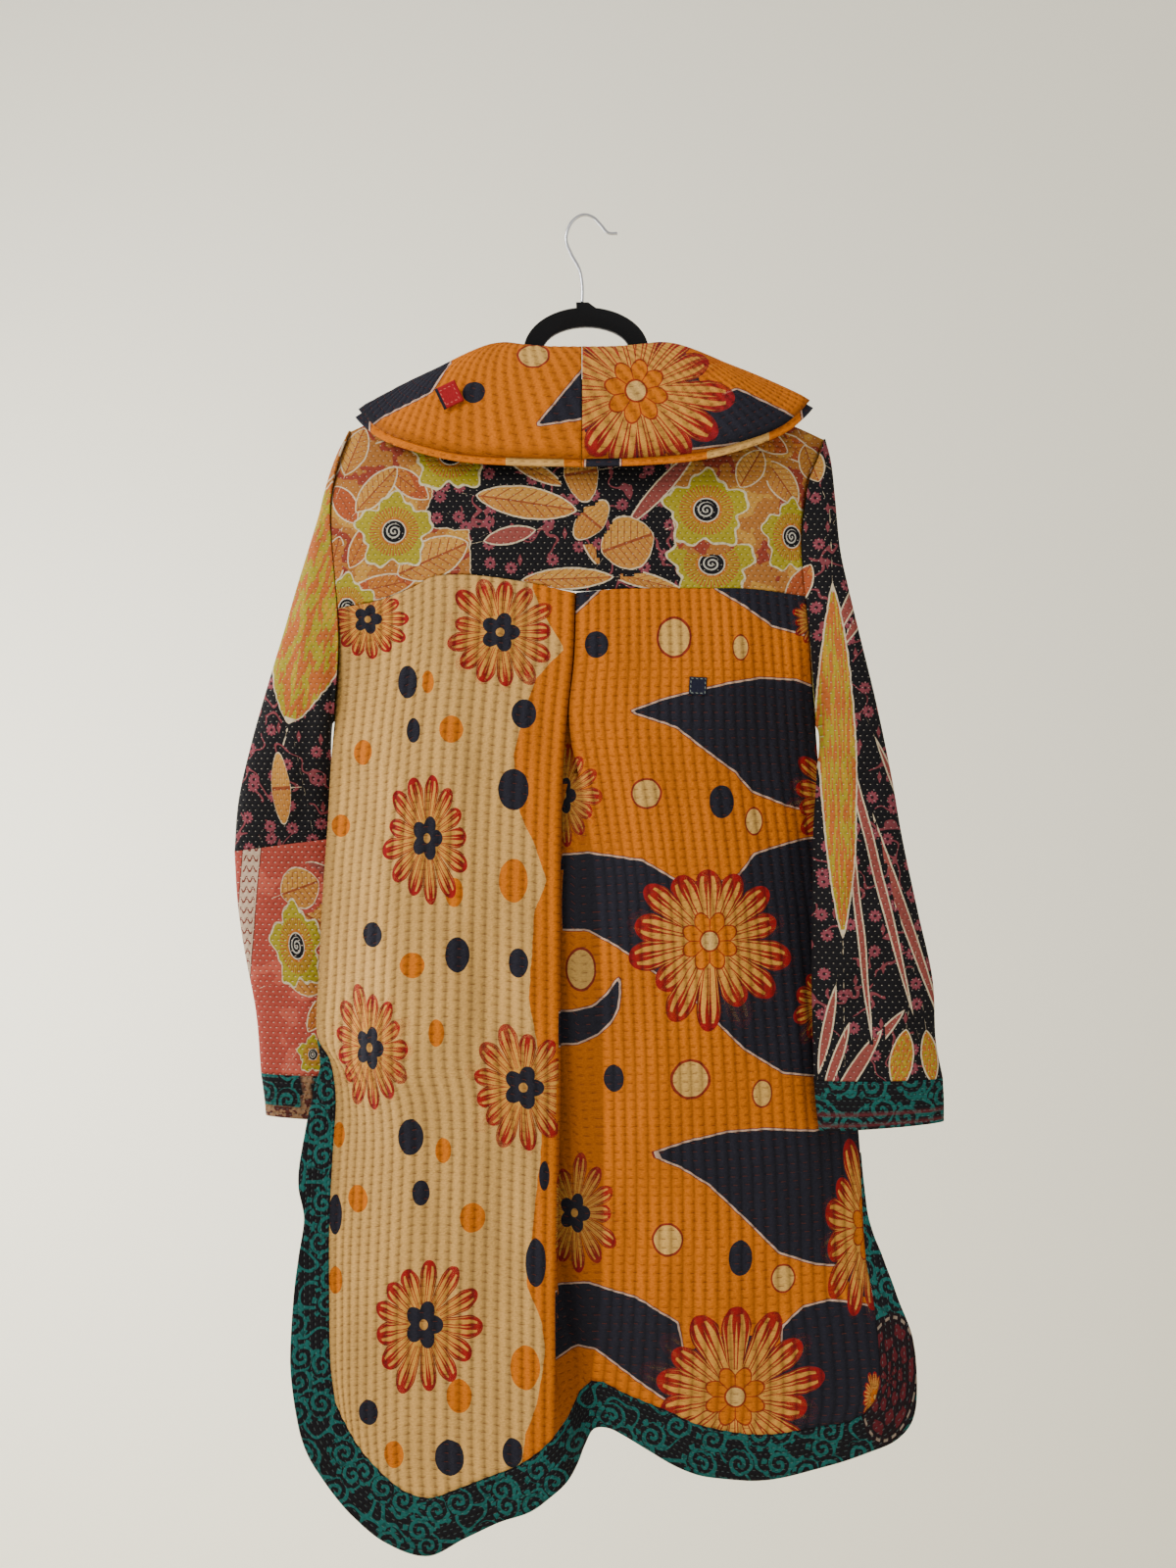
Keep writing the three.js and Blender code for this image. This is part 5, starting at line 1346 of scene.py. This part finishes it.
def coral_print(name, colours):
    """Coral cotton with a scroll strip, olive flowers and pale leaves."""
    finish = Finish(name, colours.coral)
    x, _, z = finish.place()
    flat = finish.vector(x, z)
    fuzz = finish.noise(flat, 120.0)
    weave = finish.noise(flat, 900.0, 1.0)
    patchy = finish.noise(flat, 26.0)
    finish.paint(patchy.above(0.58), CORAL_LIGHT)
    strip = finish.attribute("strip") + 0.001 * (fuzz - 0.5)
    finish.paint(strip.below(0.010), STRIP_EDGE)
    finish.paint(strip.below(0.009), STRIP_PALE)
    coil = ((z * 300.0) + (x * 900.0).sin() * 0.7).sin()
    finish.paint(strip.below(0.0075) * coil.abs().below(0.42), STRIP_SCROLL)
    leaves(finish, "leaf", fuzz, patchy, colours)
    olive_flower(finish, fuzz, colours)
    return sewn_print(
        finish, 0.58 + 0.34 * patchy, weave, fuzz, x, z, (5.2, 6.6, 1.6, 0.8),
        PINK_THREAD, 0.75, (2.2, 0.2, 3.2), 0.8,
    )


def lining(name, colours):
    """The plain inner side, with the stitches showing through."""
    finish = Finish(name, colours.lining)
    x, _, z = finish.place()
    u, v = finish.uv("cloth")
    flat = finish.vector(x, z)
    fuzz = finish.noise(flat, 100.0)
    patchy = finish.noise(flat, 18.0)
    finish.paint(patchy.above(0.5), LINING_OLIVE)
    finish.paint((patchy - 0.45).abs().below(0.04), LINING_RUST)
    stitch, row_away, dash_away = running_stitch(finish, u, v, 6.0, 7.0, 2.4, 0.9, fuzz)
    finish.paint(stitch * 0.6, PALE_THREAD)
    pucker = (1.0 - row_away.ramp(0.0, 2.4)) * (1.0 - dash_away.ramp(0.4, 3.2))
    return finish.finish(0.6 * fuzz - pucker, 0.8)


def plain_patch(name, colour, thread):
    """A small square of plain cotton with coarse stitches round its edge."""
    finish = Finish(name, colour)
    u, v = finish.uv("cloth")
    fuzz = finish.noise(finish.vector(u, v), 300.0, 3.0)
    edge = u.abs().max(v.abs())
    dash = ((u + v) * 1400.0).sin().above(0.1)
    finish.paint(u.below(-0.0078), PATCH_EDGE)
    finish.paint(edge.above(0.0066) * edge.below(0.0074) * dash, thread)
    finish.shade(0.8 + 0.4 * fuzz)
    return finish.finish(fuzz, 0.6)


def flock(name, colour):
    """The short velvety coat of the hanger."""
    finish = Finish(name, colour, roughness=1.0)
    x, y, z = finish.place()
    fuzz = finish.noise(finish.vector(x, y, z), 900.0, 3.0)
    finish.shader.inputs["Sheen Weight"].default_value = 0.35
    finish.shader.inputs["Sheen Roughness"].default_value = 0.4
    return finish.finish(fuzz, 0.3)


def bright_wire(name):
    """The hook's polished wire."""
    finish = Finish(name, WIRE_GREY, roughness=0.22)
    finish.shader.inputs["Metallic"].default_value = 1.0
    finish.shader.inputs["Specular IOR Level"].default_value = 0.5
    return finish.finish()


# Settings
def colour_property(name, value, text):
    """A colour of the panel, given as red, green and blue of 0 to 255."""
    return FloatVectorProperty(
        name=name, description=text, subtype="COLOR_GAMMA", size=3, min=0, max=1,
        default=[channel / 255 for channel in value],
    )


def length_property(name, text, metres, low, high):
    return FloatProperty(
        name=name, description=text, default=metres, min=low, max=high, unit="LENGTH",
        subtype="DISTANCE",
    )


def power_property(name, text, watts):
    return FloatProperty(name=name, description=text, default=watts, min=0, unit="POWER")


class ClothSizes(bpy.types.PropertyGroup):
    """Sizes of the cloth and of its quilting."""

    wall: length_property("Thickness", "Thickness of a quilted panel", 0.0018, 0.0008, 0.003)
    rib: length_property("Rib height", "How far the quilting puffs out", 0.0012, 0, 0.003)
    stitch_row: length_property(
        "Stitch rows", "Distance between rows of stitches on the back", 0.0083, 0.004, 0.02
    )
    fullness: length_property(
        "Yoke fullness", "How far the yoke stands out in its middle", 0.009, 0, 0.015
    )
    patch: length_property("Patch size", "Side of the two small patches", 0.017, 0.01, 0.03)
    back_rows: IntProperty(
        name="Back rows", description="Rows of the back panel's mesh", default=165,
        min=60, max=180,
    )


class PrintColours(bpy.types.PropertyGroup):
    """Colours of the printed cloths, as seen on a screen."""

    cream: colour_property("Cream", (212, 162, 88), "Pale ground of the back")
    orange: colour_property("Orange", (204, 108, 0), "Bright ground of the back and collar")
    navy: colour_property("Navy", (33, 32, 42), "Dark shapes of the back and collar")
    black: colour_property("Black", (20, 18, 22), "Ground of the yoke, sleeves and border")
    olive: colour_property("Olive", (168, 152, 36), "Flowers of the yoke")
    teal: colour_property("Teal", (22, 98, 92), "Scrolls of the border")
    coral: colour_property("Coral", (176, 72, 58), "Lower part of the left sleeve")
    lining: colour_property("Lining", (168, 150, 78), "Inner side of the cloth")
    red: colour_property("Red", (150, 22, 30), "Patch on the collar")


class StageSettings(bpy.types.PropertyGroup):
    """Lights and background."""

    key_power: power_property("Key light", "Power of the large soft light", 80.0)
    fill_power: power_property("Fill light", "Power of the second soft light", 12.0)
    wall_power: power_property("Wall light", "Power of the light on the wall", 120.0)
    backdrop: colour_property("Backdrop", (255, 250, 232), "Colour of the wall and floor")


def displaced(grid, relief_mm):
    """A grid of middle points moved along its normals."""
    return grid + grid_normals(grid) * relief_mm[..., None]


def beyond_pleat(x, z):
    """True at the right of the pleat's visible edge."""
    return x > np.interp(-z, *PLEAT_EDGE)


def small_patch(name, place, on_grid, side_m, finish):
    """A small square that lies on the outer side of a piece's grid."""
    x, z, turn = place
    half = side_m / MM / 2
    a, b = np.meshgrid(np.linspace(-half, half, 13), np.linspace(half, -half, 13))
    px = x + a * math.cos(turn) + b * math.sin(turn)
    pz = z + b * math.cos(turn) - a * math.sin(turn)
    points = on_grid.reshape(-1, 3)
    near = points[np.hypot(points[:, 0] - x, points[:, 2] - z) < 2.2 * half]
    terms = np.stack([near[:, 0] ** 0, near[:, 0] - x, near[:, 2] - z], axis=-1)
    plane = np.linalg.lstsq(terms, near[:, 1], rcond=None)[0]
    outermost = (near[:, 1] - terms @ plane).min()
    py = plane[0] + plane[1] * (px - x) + plane[2] * (pz - z) + outermost - 1.3
    grid = np.stack([px, py, pz], axis=-1)
    u, v = a * MM, b * MM
    return cloth_piece(name, grid, (u, v), slots=(finish,), wall_mm=0.6), grid


class COAT_OT_back(bpy.types.Operator):
    """Builds the back panel with its pleat, its patch and its border"""

    bl_idname = "coat.back"
    bl_label = "Build the back"

    def execute(self, context):
        sizes = context.scene.coat_sizes
        grid, phase, rib = back_grid(sizes.back_rows)
        x, z = grid[..., 0], grid[..., 2]
        shown = displaced(grid, rib * sizes.rib / MM)
        _, v = arc_uv(grid)
        panel(
            "back_cloth", "back_panel", "quilted_print", grid, (phase * RIB_PITCH * MM, v),
            "hanger_body", shown=shown, cut=beyond_pleat,
            floats={
                "pale": signed_distance(x, z, BACK_CREAM),
                "dark": np.where(beyond_pleat(x, z), signed_distance(x, z, BACK_DARK), FAR_MM),
                "rib": rib,
            },
            motifs={
                "motif": with_kind(DAISIES, 1) + with_kind(LARGE_DAISIES, 2),
                "spot": with_kind(NAVY_SPOTS, 0) + with_kind(ORANGE_SPOTS, 1)
                + with_kind(CREAM_SPOTS, 2),
            },
        )
        patch_piece, patch_grid = small_patch(
            "dark_patch", DARK_PATCH, shown, sizes.patch, material("dark_patch")
        )
        declare_sheet(patch_piece, "patch_back", patch_grid)
        edge, u, v = border_grid(grid)
        edge = displaced(edge, BORDER_PUFF * np.abs(np.sin(v / MM * math.pi / BORDER_STITCH)))
        panel(
            "border_cloth", "back_border", "teal_border", edge, (u, v), "back_cloth",
            floats={"wine": np.zeros_like(u), "brown": np.zeros_like(u)},
            motifs={"spot": PAISLEY},
        )
        return {"FINISHED"}


class COAT_OT_yoke(bpy.types.Operator):
    """Builds the yoke"""

    bl_idname = "coat.yoke"
    bl_label = "Build the yoke"

    def execute(self, context):
        grid = yoke_grid(context.scene.coat_sizes.fullness / MM)
        panel(
            "yoke_cloth", "back_yoke", "dark_print", grid, arc_uv(grid), "hanger_body",
            floats={"amber": signed_distance(grid[..., 0], grid[..., 2], YOKE_AMBER)},
            motifs=dark_motifs(on_yoke=True),
        )
        return {"FINISHED"}


def dark_motifs(on_yoke):
    """The dark print's motifs for the yoke or for the sleeves."""
    flowers = with_kind(OLIVE_FLOWERS, 3) if on_yoke else NO_MOTIF
    streaked = [] if on_yoke else with_kind(STREAKED_LEAVES, 2)
    return {
        "leaf": with_kind(PINK_STEMS, 3) + with_kind(PEACH_LEAVES, 1),
        "leaf_top": streaked + with_kind(OCHRE_LEAVES, 0),
        "motif": flowers,
    }


class COAT_OT_sleeves(bpy.types.Operator):
    """Builds the two sleeves, the left one pieced, and their cuffs"""

    bl_idname = "coat.sleeves"
    bl_label = "Build the sleeves"

    def execute(self, context):
        for node, rows, loop, row_count, seed in (
            ("sleeve_left_upper", SLEEVE_LEFT[:LEFT_PIECING + 1], ARMHOLE_LEFT, 110, 41),
            ("sleeve_right", SLEEVE_RIGHT, ARMHOLE_RIGHT, 170, 43),
        ):
            grid, _ = sleeve_grid(rows, loop, row_count, seed)
            panel(
                f"{node}_cloth", node, "dark_print", grid, arc_uv(grid), "hanger_body",
                is_tube=True, motifs=dark_motifs(on_yoke=False),
                floats={"amber": signed_distance(grid[..., 0], grid[..., 2], SLEEVE_AMBER)},
            )
        out_x, out_z, in_x, in_z, *rest = SLEEVE_LEFT[LEFT_PIECING]
        first = (out_x, out_z - PIECING_GAP, in_x, in_z - PIECING_GAP, *rest)
        grid, _ = sleeve_grid([first, *SLEEVE_LEFT[LEFT_PIECING + 1:]], ARMHOLE_LEFT, 80, 45)
        top_x, top_z, lean = SCROLL_STRIP
        panel(
            "sleeve_left_lower_cloth", "sleeve_left_lower", "coral_print", grid, arc_uv(grid),
            "sleeve_left_upper_cloth", is_tube=True,
            floats={
                "strip": np.abs(grid[..., 0] - top_x - lean * (grid[..., 2] - top_z)) * MM
            },
            motifs={
                "leaf": with_kind(OCHRE_LEAVES[-4:], 0) + CORAL_LEAVES,
                "motif": CORAL_FLOWERS,
            },
        )
        for side, rows, loop, sleeve in (
            ("left", CUFF_LEFT, ARMHOLE_LEFT, "sleeve_left_lower_cloth"),
            ("right", CUFF_RIGHT, ARMHOLE_RIGHT, "sleeve_right_cloth"),
        ):
            grid, v = sleeve_grid(rows, loop, 24, 47, 0.6)
            grid[..., 1] += CUFF_WAVE * np.sin(v * 16 * math.pi)
            right = side == "right"
            lines = np.maximum(
                *(np.exp(-(((v - line) / CUFF_LINE_WIDTH) ** 2)) for line in CUFF_LINES)
            )
            strip = np.abs(grid[..., 0] - CUFF_STRIP_X) < CUFF_STRIP_HALF
            panel(
                f"cuff_{side}_cloth", f"cuff_{side}", "teal_border", grid, arc_uv(grid), sleeve,
                is_tube=True, motifs={"spot": NO_MOTIF},
                floats={
                    "wine": lines * right,
                    "brown": np.where(right, 0, (v > CUFF_BROWN_FROM) | strip) * 1.0,
                },
            )
        return {"FINISHED"}


class COAT_OT_fronts(bpy.types.Operator):
    """Builds the two fronts"""

    bl_idname = "coat.fronts"
    bl_label = "Build the fronts"

    def execute(self, context):
        for side, name in ((-1, "left"), (1, "right")):
            grid, u, v = front_grid(side)
            rib = np.abs(np.sin(np.pi * u * FRONT_RIBS)) ** RIB_SHAPE
            rib *= smooth(u / 0.05) * smooth((1 - u) / 0.05) * smooth(v / 0.02)
            x, z = grid[..., 0], grid[..., 2]
            panel(
                f"front_{name}_cloth", f"front_{name}", "quilted_print", grid,
                (u * FRONT_RIBS * RIB_PITCH * MM, arc_uv(grid)[1]), "hanger_body",
                shown=displaced(grid, rib * 0.7 * context.scene.coat_sizes.rib / MM),
                floats={
                    "pale": np.full_like(x, FAR_MM),
                    "dark": np.where(x > 0, signed_distance(x, z, BACK_DARK[1:5]), FAR_MM),
                    "rib": rib,
                },
                motifs={
                    "motif": with_kind(LARGE_DAISIES[:3], 2) + with_kind(DAISIES[2:5], 2),
                    "spot": with_kind(CREAM_SPOTS, 2) + with_kind(NAVY_SPOTS[4:12], 0),
                },
            )
        return {"FINISHED"}


class COAT_OT_collar(bpy.types.Operator):
    """Builds the two halves of the collar, the strips under them and the red patch"""

    bl_idname = "coat.collar"
    bl_label = "Build the collar"

    def execute(self, context):
        sizes = context.scene.coat_sizes
        for side, name in ((-1, "left"), (1, "right")):
            is_left = side < 0
            grid, slant, rib = collar_grid(side)
            x, z = grid[..., 0], grid[..., 2]
            shown = displaced(grid, rib * 0.8 * sizes.rib / MM)
            dark = COLLAR_DARK[:2] if is_left else COLLAR_DARK[2:]
            collar = panel(
                f"collar_{name}_cloth", f"collar_{name}", "quilted_print", grid,
                (slant * RIB_PITCH * MM, arc_uv(grid)[1]), "hanger_body", shown=shown,
                floats={
                    "pale": np.full_like(x, FAR_MM),
                    "dark": signed_distance(x, z, dark),
                    "rib": rib,
                },
                motifs={"motif": NO_MOTIF if is_left else COLLAR_DAISY, "spot": COLLAR_SPOTS},
            )
            if is_left:
                square, square_grid = small_patch(
                    "red_patch_cloth", RED_PATCH, shown, 1.25 * sizes.patch,
                    material("red_patch"),
                )
                declare_sheet(square, "patch_collar", square_grid)
            under = under_collar_grid(side, *UNDER_COLLAR)
            x = under[..., 0]
            panel(
                f"under_collar_{name}_cloth", f"under_collar_{name}", "quilted_print", under,
                arc_uv(under), collar.name,
                floats={
                    "pale": np.abs(x + 45) - 28 if is_left else np.abs(x - 150) - 30,
                    "dark": x + 208 if is_left else np.minimum(np.abs(x - 20) - 16, 216 - x),
                    "rib": np.ones_like(x),
                },
                motifs={"motif": NO_MOTIF, "spot": NO_MOTIF},
            )
        return {"FINISHED"}


HOOK = [
    (0, -85.6), (0, -68), (-3, -52), (-11, -37), (-16, -23), (-12.5, -9), (-6, -1.5),
    (2, 1.6), (11, -1), (19, -9), (26, -16.5), (35, -17),
]
WIRE_RADIUS = 1.6


class COAT_OT_hanger(bpy.types.Operator):
    """Builds the flocked hanger and its wire hook"""

    bl_idname = "coat.hanger"
    bl_label = "Build the hanger"

    def execute(self, context):
        bm = bmesh.new()
        bm.from_mesh(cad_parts["hanger_body"].data)
        bmesh.ops.remove_doubles(bm, verts=bm.verts, dist=1e-5)
        bmesh.ops.dissolve_limit(
            bm, angle_limit=math.radians(1), verts=bm.verts, edges=bm.edges
        )
        mesh = mesh_of("hanger_cloth", bm)
        mesh.materials.clear()
        mesh.materials.append(material("black_flock"))
        mesh.shade_smooth()
        body = new_object("hanger_flock", mesh)
        bevel = body.modifiers.new("soft edge", "BEVEL")
        bevel.width = 1.6 * MM
        bevel.segments = 3
        bevel.limit_method = "ANGLE"
        bevel.angle_limit = math.radians(50)
        bevel.harden_normals = True
        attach(body, "root")
        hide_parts("hanger_body")
        wire = hook_wire()
        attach(wire, "root")
        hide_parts("hanger_hook")
        return {"FINISHED"}


def hook_wire():
    """The bent wire: a disc drawn out along the hook's line, ring by ring."""
    line = curve_through(HOOK)(np.linspace(0, 1, 110)) * MM
    bm = bmesh.new()
    bmesh.ops.create_circle(bm, cap_ends=True, radius=WIRE_RADIUS * MM, segments=16)
    ring = sorted(bm.verts, key=lambda vert: math.atan2(vert.co.y, vert.co.x))
    face = bm.faces[:][0]
    for i, point in enumerate(line):
        if i:
            made = bmesh.ops.extrude_face_region(bm, geom=[face])["geom"]
            new_face = next(item for item in made if isinstance(item, bmesh.types.BMFace))
            follows = {}
            for vert in ring:
                follows[vert] = next(
                    edge.other_vert(vert) for edge in vert.link_edges
                    if edge.other_vert(vert) in new_face.verts
                )
            if i > 1:
                bmesh.ops.delete(bm, geom=[face], context="FACES_ONLY")
            ring = [follows[vert] for vert in ring]
            face = new_face
        ahead = line[min(i + 1, len(line) - 1)] - line[max(i - 1, 0)]
        ahead /= np.linalg.norm(ahead)
        side = np.array([ahead[2], 0, -ahead[0]])
        for number, vert in enumerate(ring):
            turn = 2 * math.pi * number / len(ring)
            offset = side * math.cos(turn) + np.array([0, 1.0, 0]) * math.sin(turn)
            vert.co = point + offset * WIRE_RADIUS * MM
    bmesh.ops.recalc_face_normals(bm, faces=bm.faces)
    mesh = mesh_of("hook_wire", bm)
    mesh.materials.append(material("chrome"))
    mesh.shade_smooth()
    return new_object("hook_wire", mesh)


def material(name):
    """A finish by its name, made the first time that it is asked for."""
    full = f"{name}_finish"
    if full in bpy.data.materials:
        return bpy.data.materials[full]
    colours = bpy.context.scene.coat_colours
    sizes = bpy.context.scene.coat_sizes
    makers = {
        "quilted_print": lambda: quilted_print(full, colours, sizes),
        "dark_print": lambda: dark_print(full, colours),
        "teal_border": lambda: teal_border(full, colours),
        "coral_print": lambda: coral_print(full, colours),
        "lining": lambda: lining(full, colours),
        "dark_patch": lambda: plain_patch(full, PATCH_NAVY, PATCH_GREY),
        "red_patch": lambda: plain_patch(full, colours.red, PATCH_ROSE),
        "black_flock": lambda: flock(full, FLOCK_BLACK),
        "chrome": lambda: bright_wire(full),
    }
    return makers[name]()


def flat_board(name, corners, colour):
    """A plain board between four corners, in metres."""
    bm = bmesh.new()
    bmesh.ops.create_grid(bm, x_segments=1, y_segments=1, size=1)
    for vert, corner in zip(bm.verts, corners):
        vert.co = corner
    mesh = mesh_of(name, bm)
    mesh.materials.append(Finish(name, colour, roughness=0.95).finish())
    return new_object(name, mesh)


def soft_light(name, place, target, size, power):
    """A square light of so many metres a side, turned to its target."""
    light = bpy.data.lights.new(name, "AREA")
    light.shape = "SQUARE"
    light.size = size
    light.energy = power
    lamp = new_object(name, light)
    lamp.location = place
    lamp.rotation_euler = (Vector(target) - lamp.location).to_track_quat("-Z", "Y").to_euler()


# The stage in metres; lights as place, target and side
WALL_Y = 3.0
WALL_TOP = 4.0
FLOOR_Z = -2.8
FAR = 6.0
KEY_LIGHT = ((-2.0, -1.7, 0.8), (0, 0, -0.65), 1.2)
FILL_LIGHT = ((1.6, -2.4, -0.4), (0, 0, -0.65), 2.2)
WALL_LIGHT = ((-2.4, 0.8, -0.9), (-0.4, WALL_Y, -0.9), 1.6)
WORLD_STRENGTH = 0.66
CAMERA_PLACE = (0.00584, -1.64, -0.5638)
CAMERA_LENS = 37.9
CAMERA_SENSOR = 36


class COAT_OT_stage(bpy.types.Operator):
    """Sets up the wall, the floor, the lights and the camera"""

    bl_idname = "coat.stage"
    bl_label = "Set the stage"

    def execute(self, context):
        settings = context.scene.coat_stage
        wall = flat_board(
            "wall", [(x, WALL_Y, z) for z in (FLOOR_Z, WALL_TOP) for x in (-FAR, FAR)],
            settings.backdrop,
        )
        floor = flat_board(
            "floor", [(x, y, FLOOR_Z) for y in (-FAR, WALL_Y) for x in (-FAR, FAR)],
            settings.backdrop,
        )
        soft_light("key", *KEY_LIGHT, settings.key_power)
        soft_light("fill", *FILL_LIGHT, settings.fill_power)
        soft_light("wall light", *WALL_LIGHT, settings.wall_power)
        world = bpy.data.worlds.new("room")
        world.use_nodes = True
        background = world.node_tree.nodes["Background"]
        background.inputs["Color"].default_value = (1, 0.98, 0.95, 1)
        background.inputs["Strength"].default_value = WORLD_STRENGTH
        context.scene.world = world
        camera = bpy.data.cameras.new("camera")
        camera.lens = CAMERA_LENS
        camera.sensor_width = CAMERA_SENSOR
        view = new_object("camera", camera)
        view.location = CAMERA_PLACE
        view.rotation_euler = (math.pi / 2, 0, 0)
        context.scene.camera = view
        return {"FINISHED"}


class COAT_PT_panel(bpy.types.Panel):
    """The coat's settings and its operators"""

    bl_label = "Coat"
    bl_space_type = "VIEW_3D"
    bl_region_type = "UI"
    bl_category = "Coat"

    def draw(self, context):
        for group in (context.scene.coat_sizes, context.scene.coat_colours,
                      context.scene.coat_stage):
            box = self.layout.box()
            for name in group.bl_rna.properties.keys():
                if name not in ("rna_type", "name"):
                    box.prop(group, name)
        for operator in OPERATORS:
            self.layout.operator(operator.bl_idname)


OPERATORS = (
    COAT_OT_back, COAT_OT_yoke, COAT_OT_sleeves, COAT_OT_fronts, COAT_OT_collar,
    COAT_OT_hanger, COAT_OT_stage,
)
CLASSES = (ClothSizes, PrintColours, StageSettings, *OPERATORS, COAT_PT_panel)


def register():
    for cls in CLASSES:
        bpy.utils.register_class(cls)
    bpy.types.Scene.coat_sizes = PointerProperty(type=ClothSizes)
    bpy.types.Scene.coat_colours = PointerProperty(type=PrintColours)
    bpy.types.Scene.coat_stage = PointerProperty(type=StageSettings)


def unregister():
    del bpy.types.Scene.coat_sizes
    del bpy.types.Scene.coat_colours
    del bpy.types.Scene.coat_stage
    for cls in reversed(CLASSES):
        bpy.utils.unregister_class(cls)


def main():
    register()
    bpy.ops.coat.back()
    bpy.ops.coat.yoke()
    bpy.ops.coat.sleeves()
    bpy.ops.coat.fronts()
    bpy.ops.coat.collar()
    bpy.ops.coat.hanger()
    bpy.ops.coat.stage()


if __name__ == "__main__":
    main()
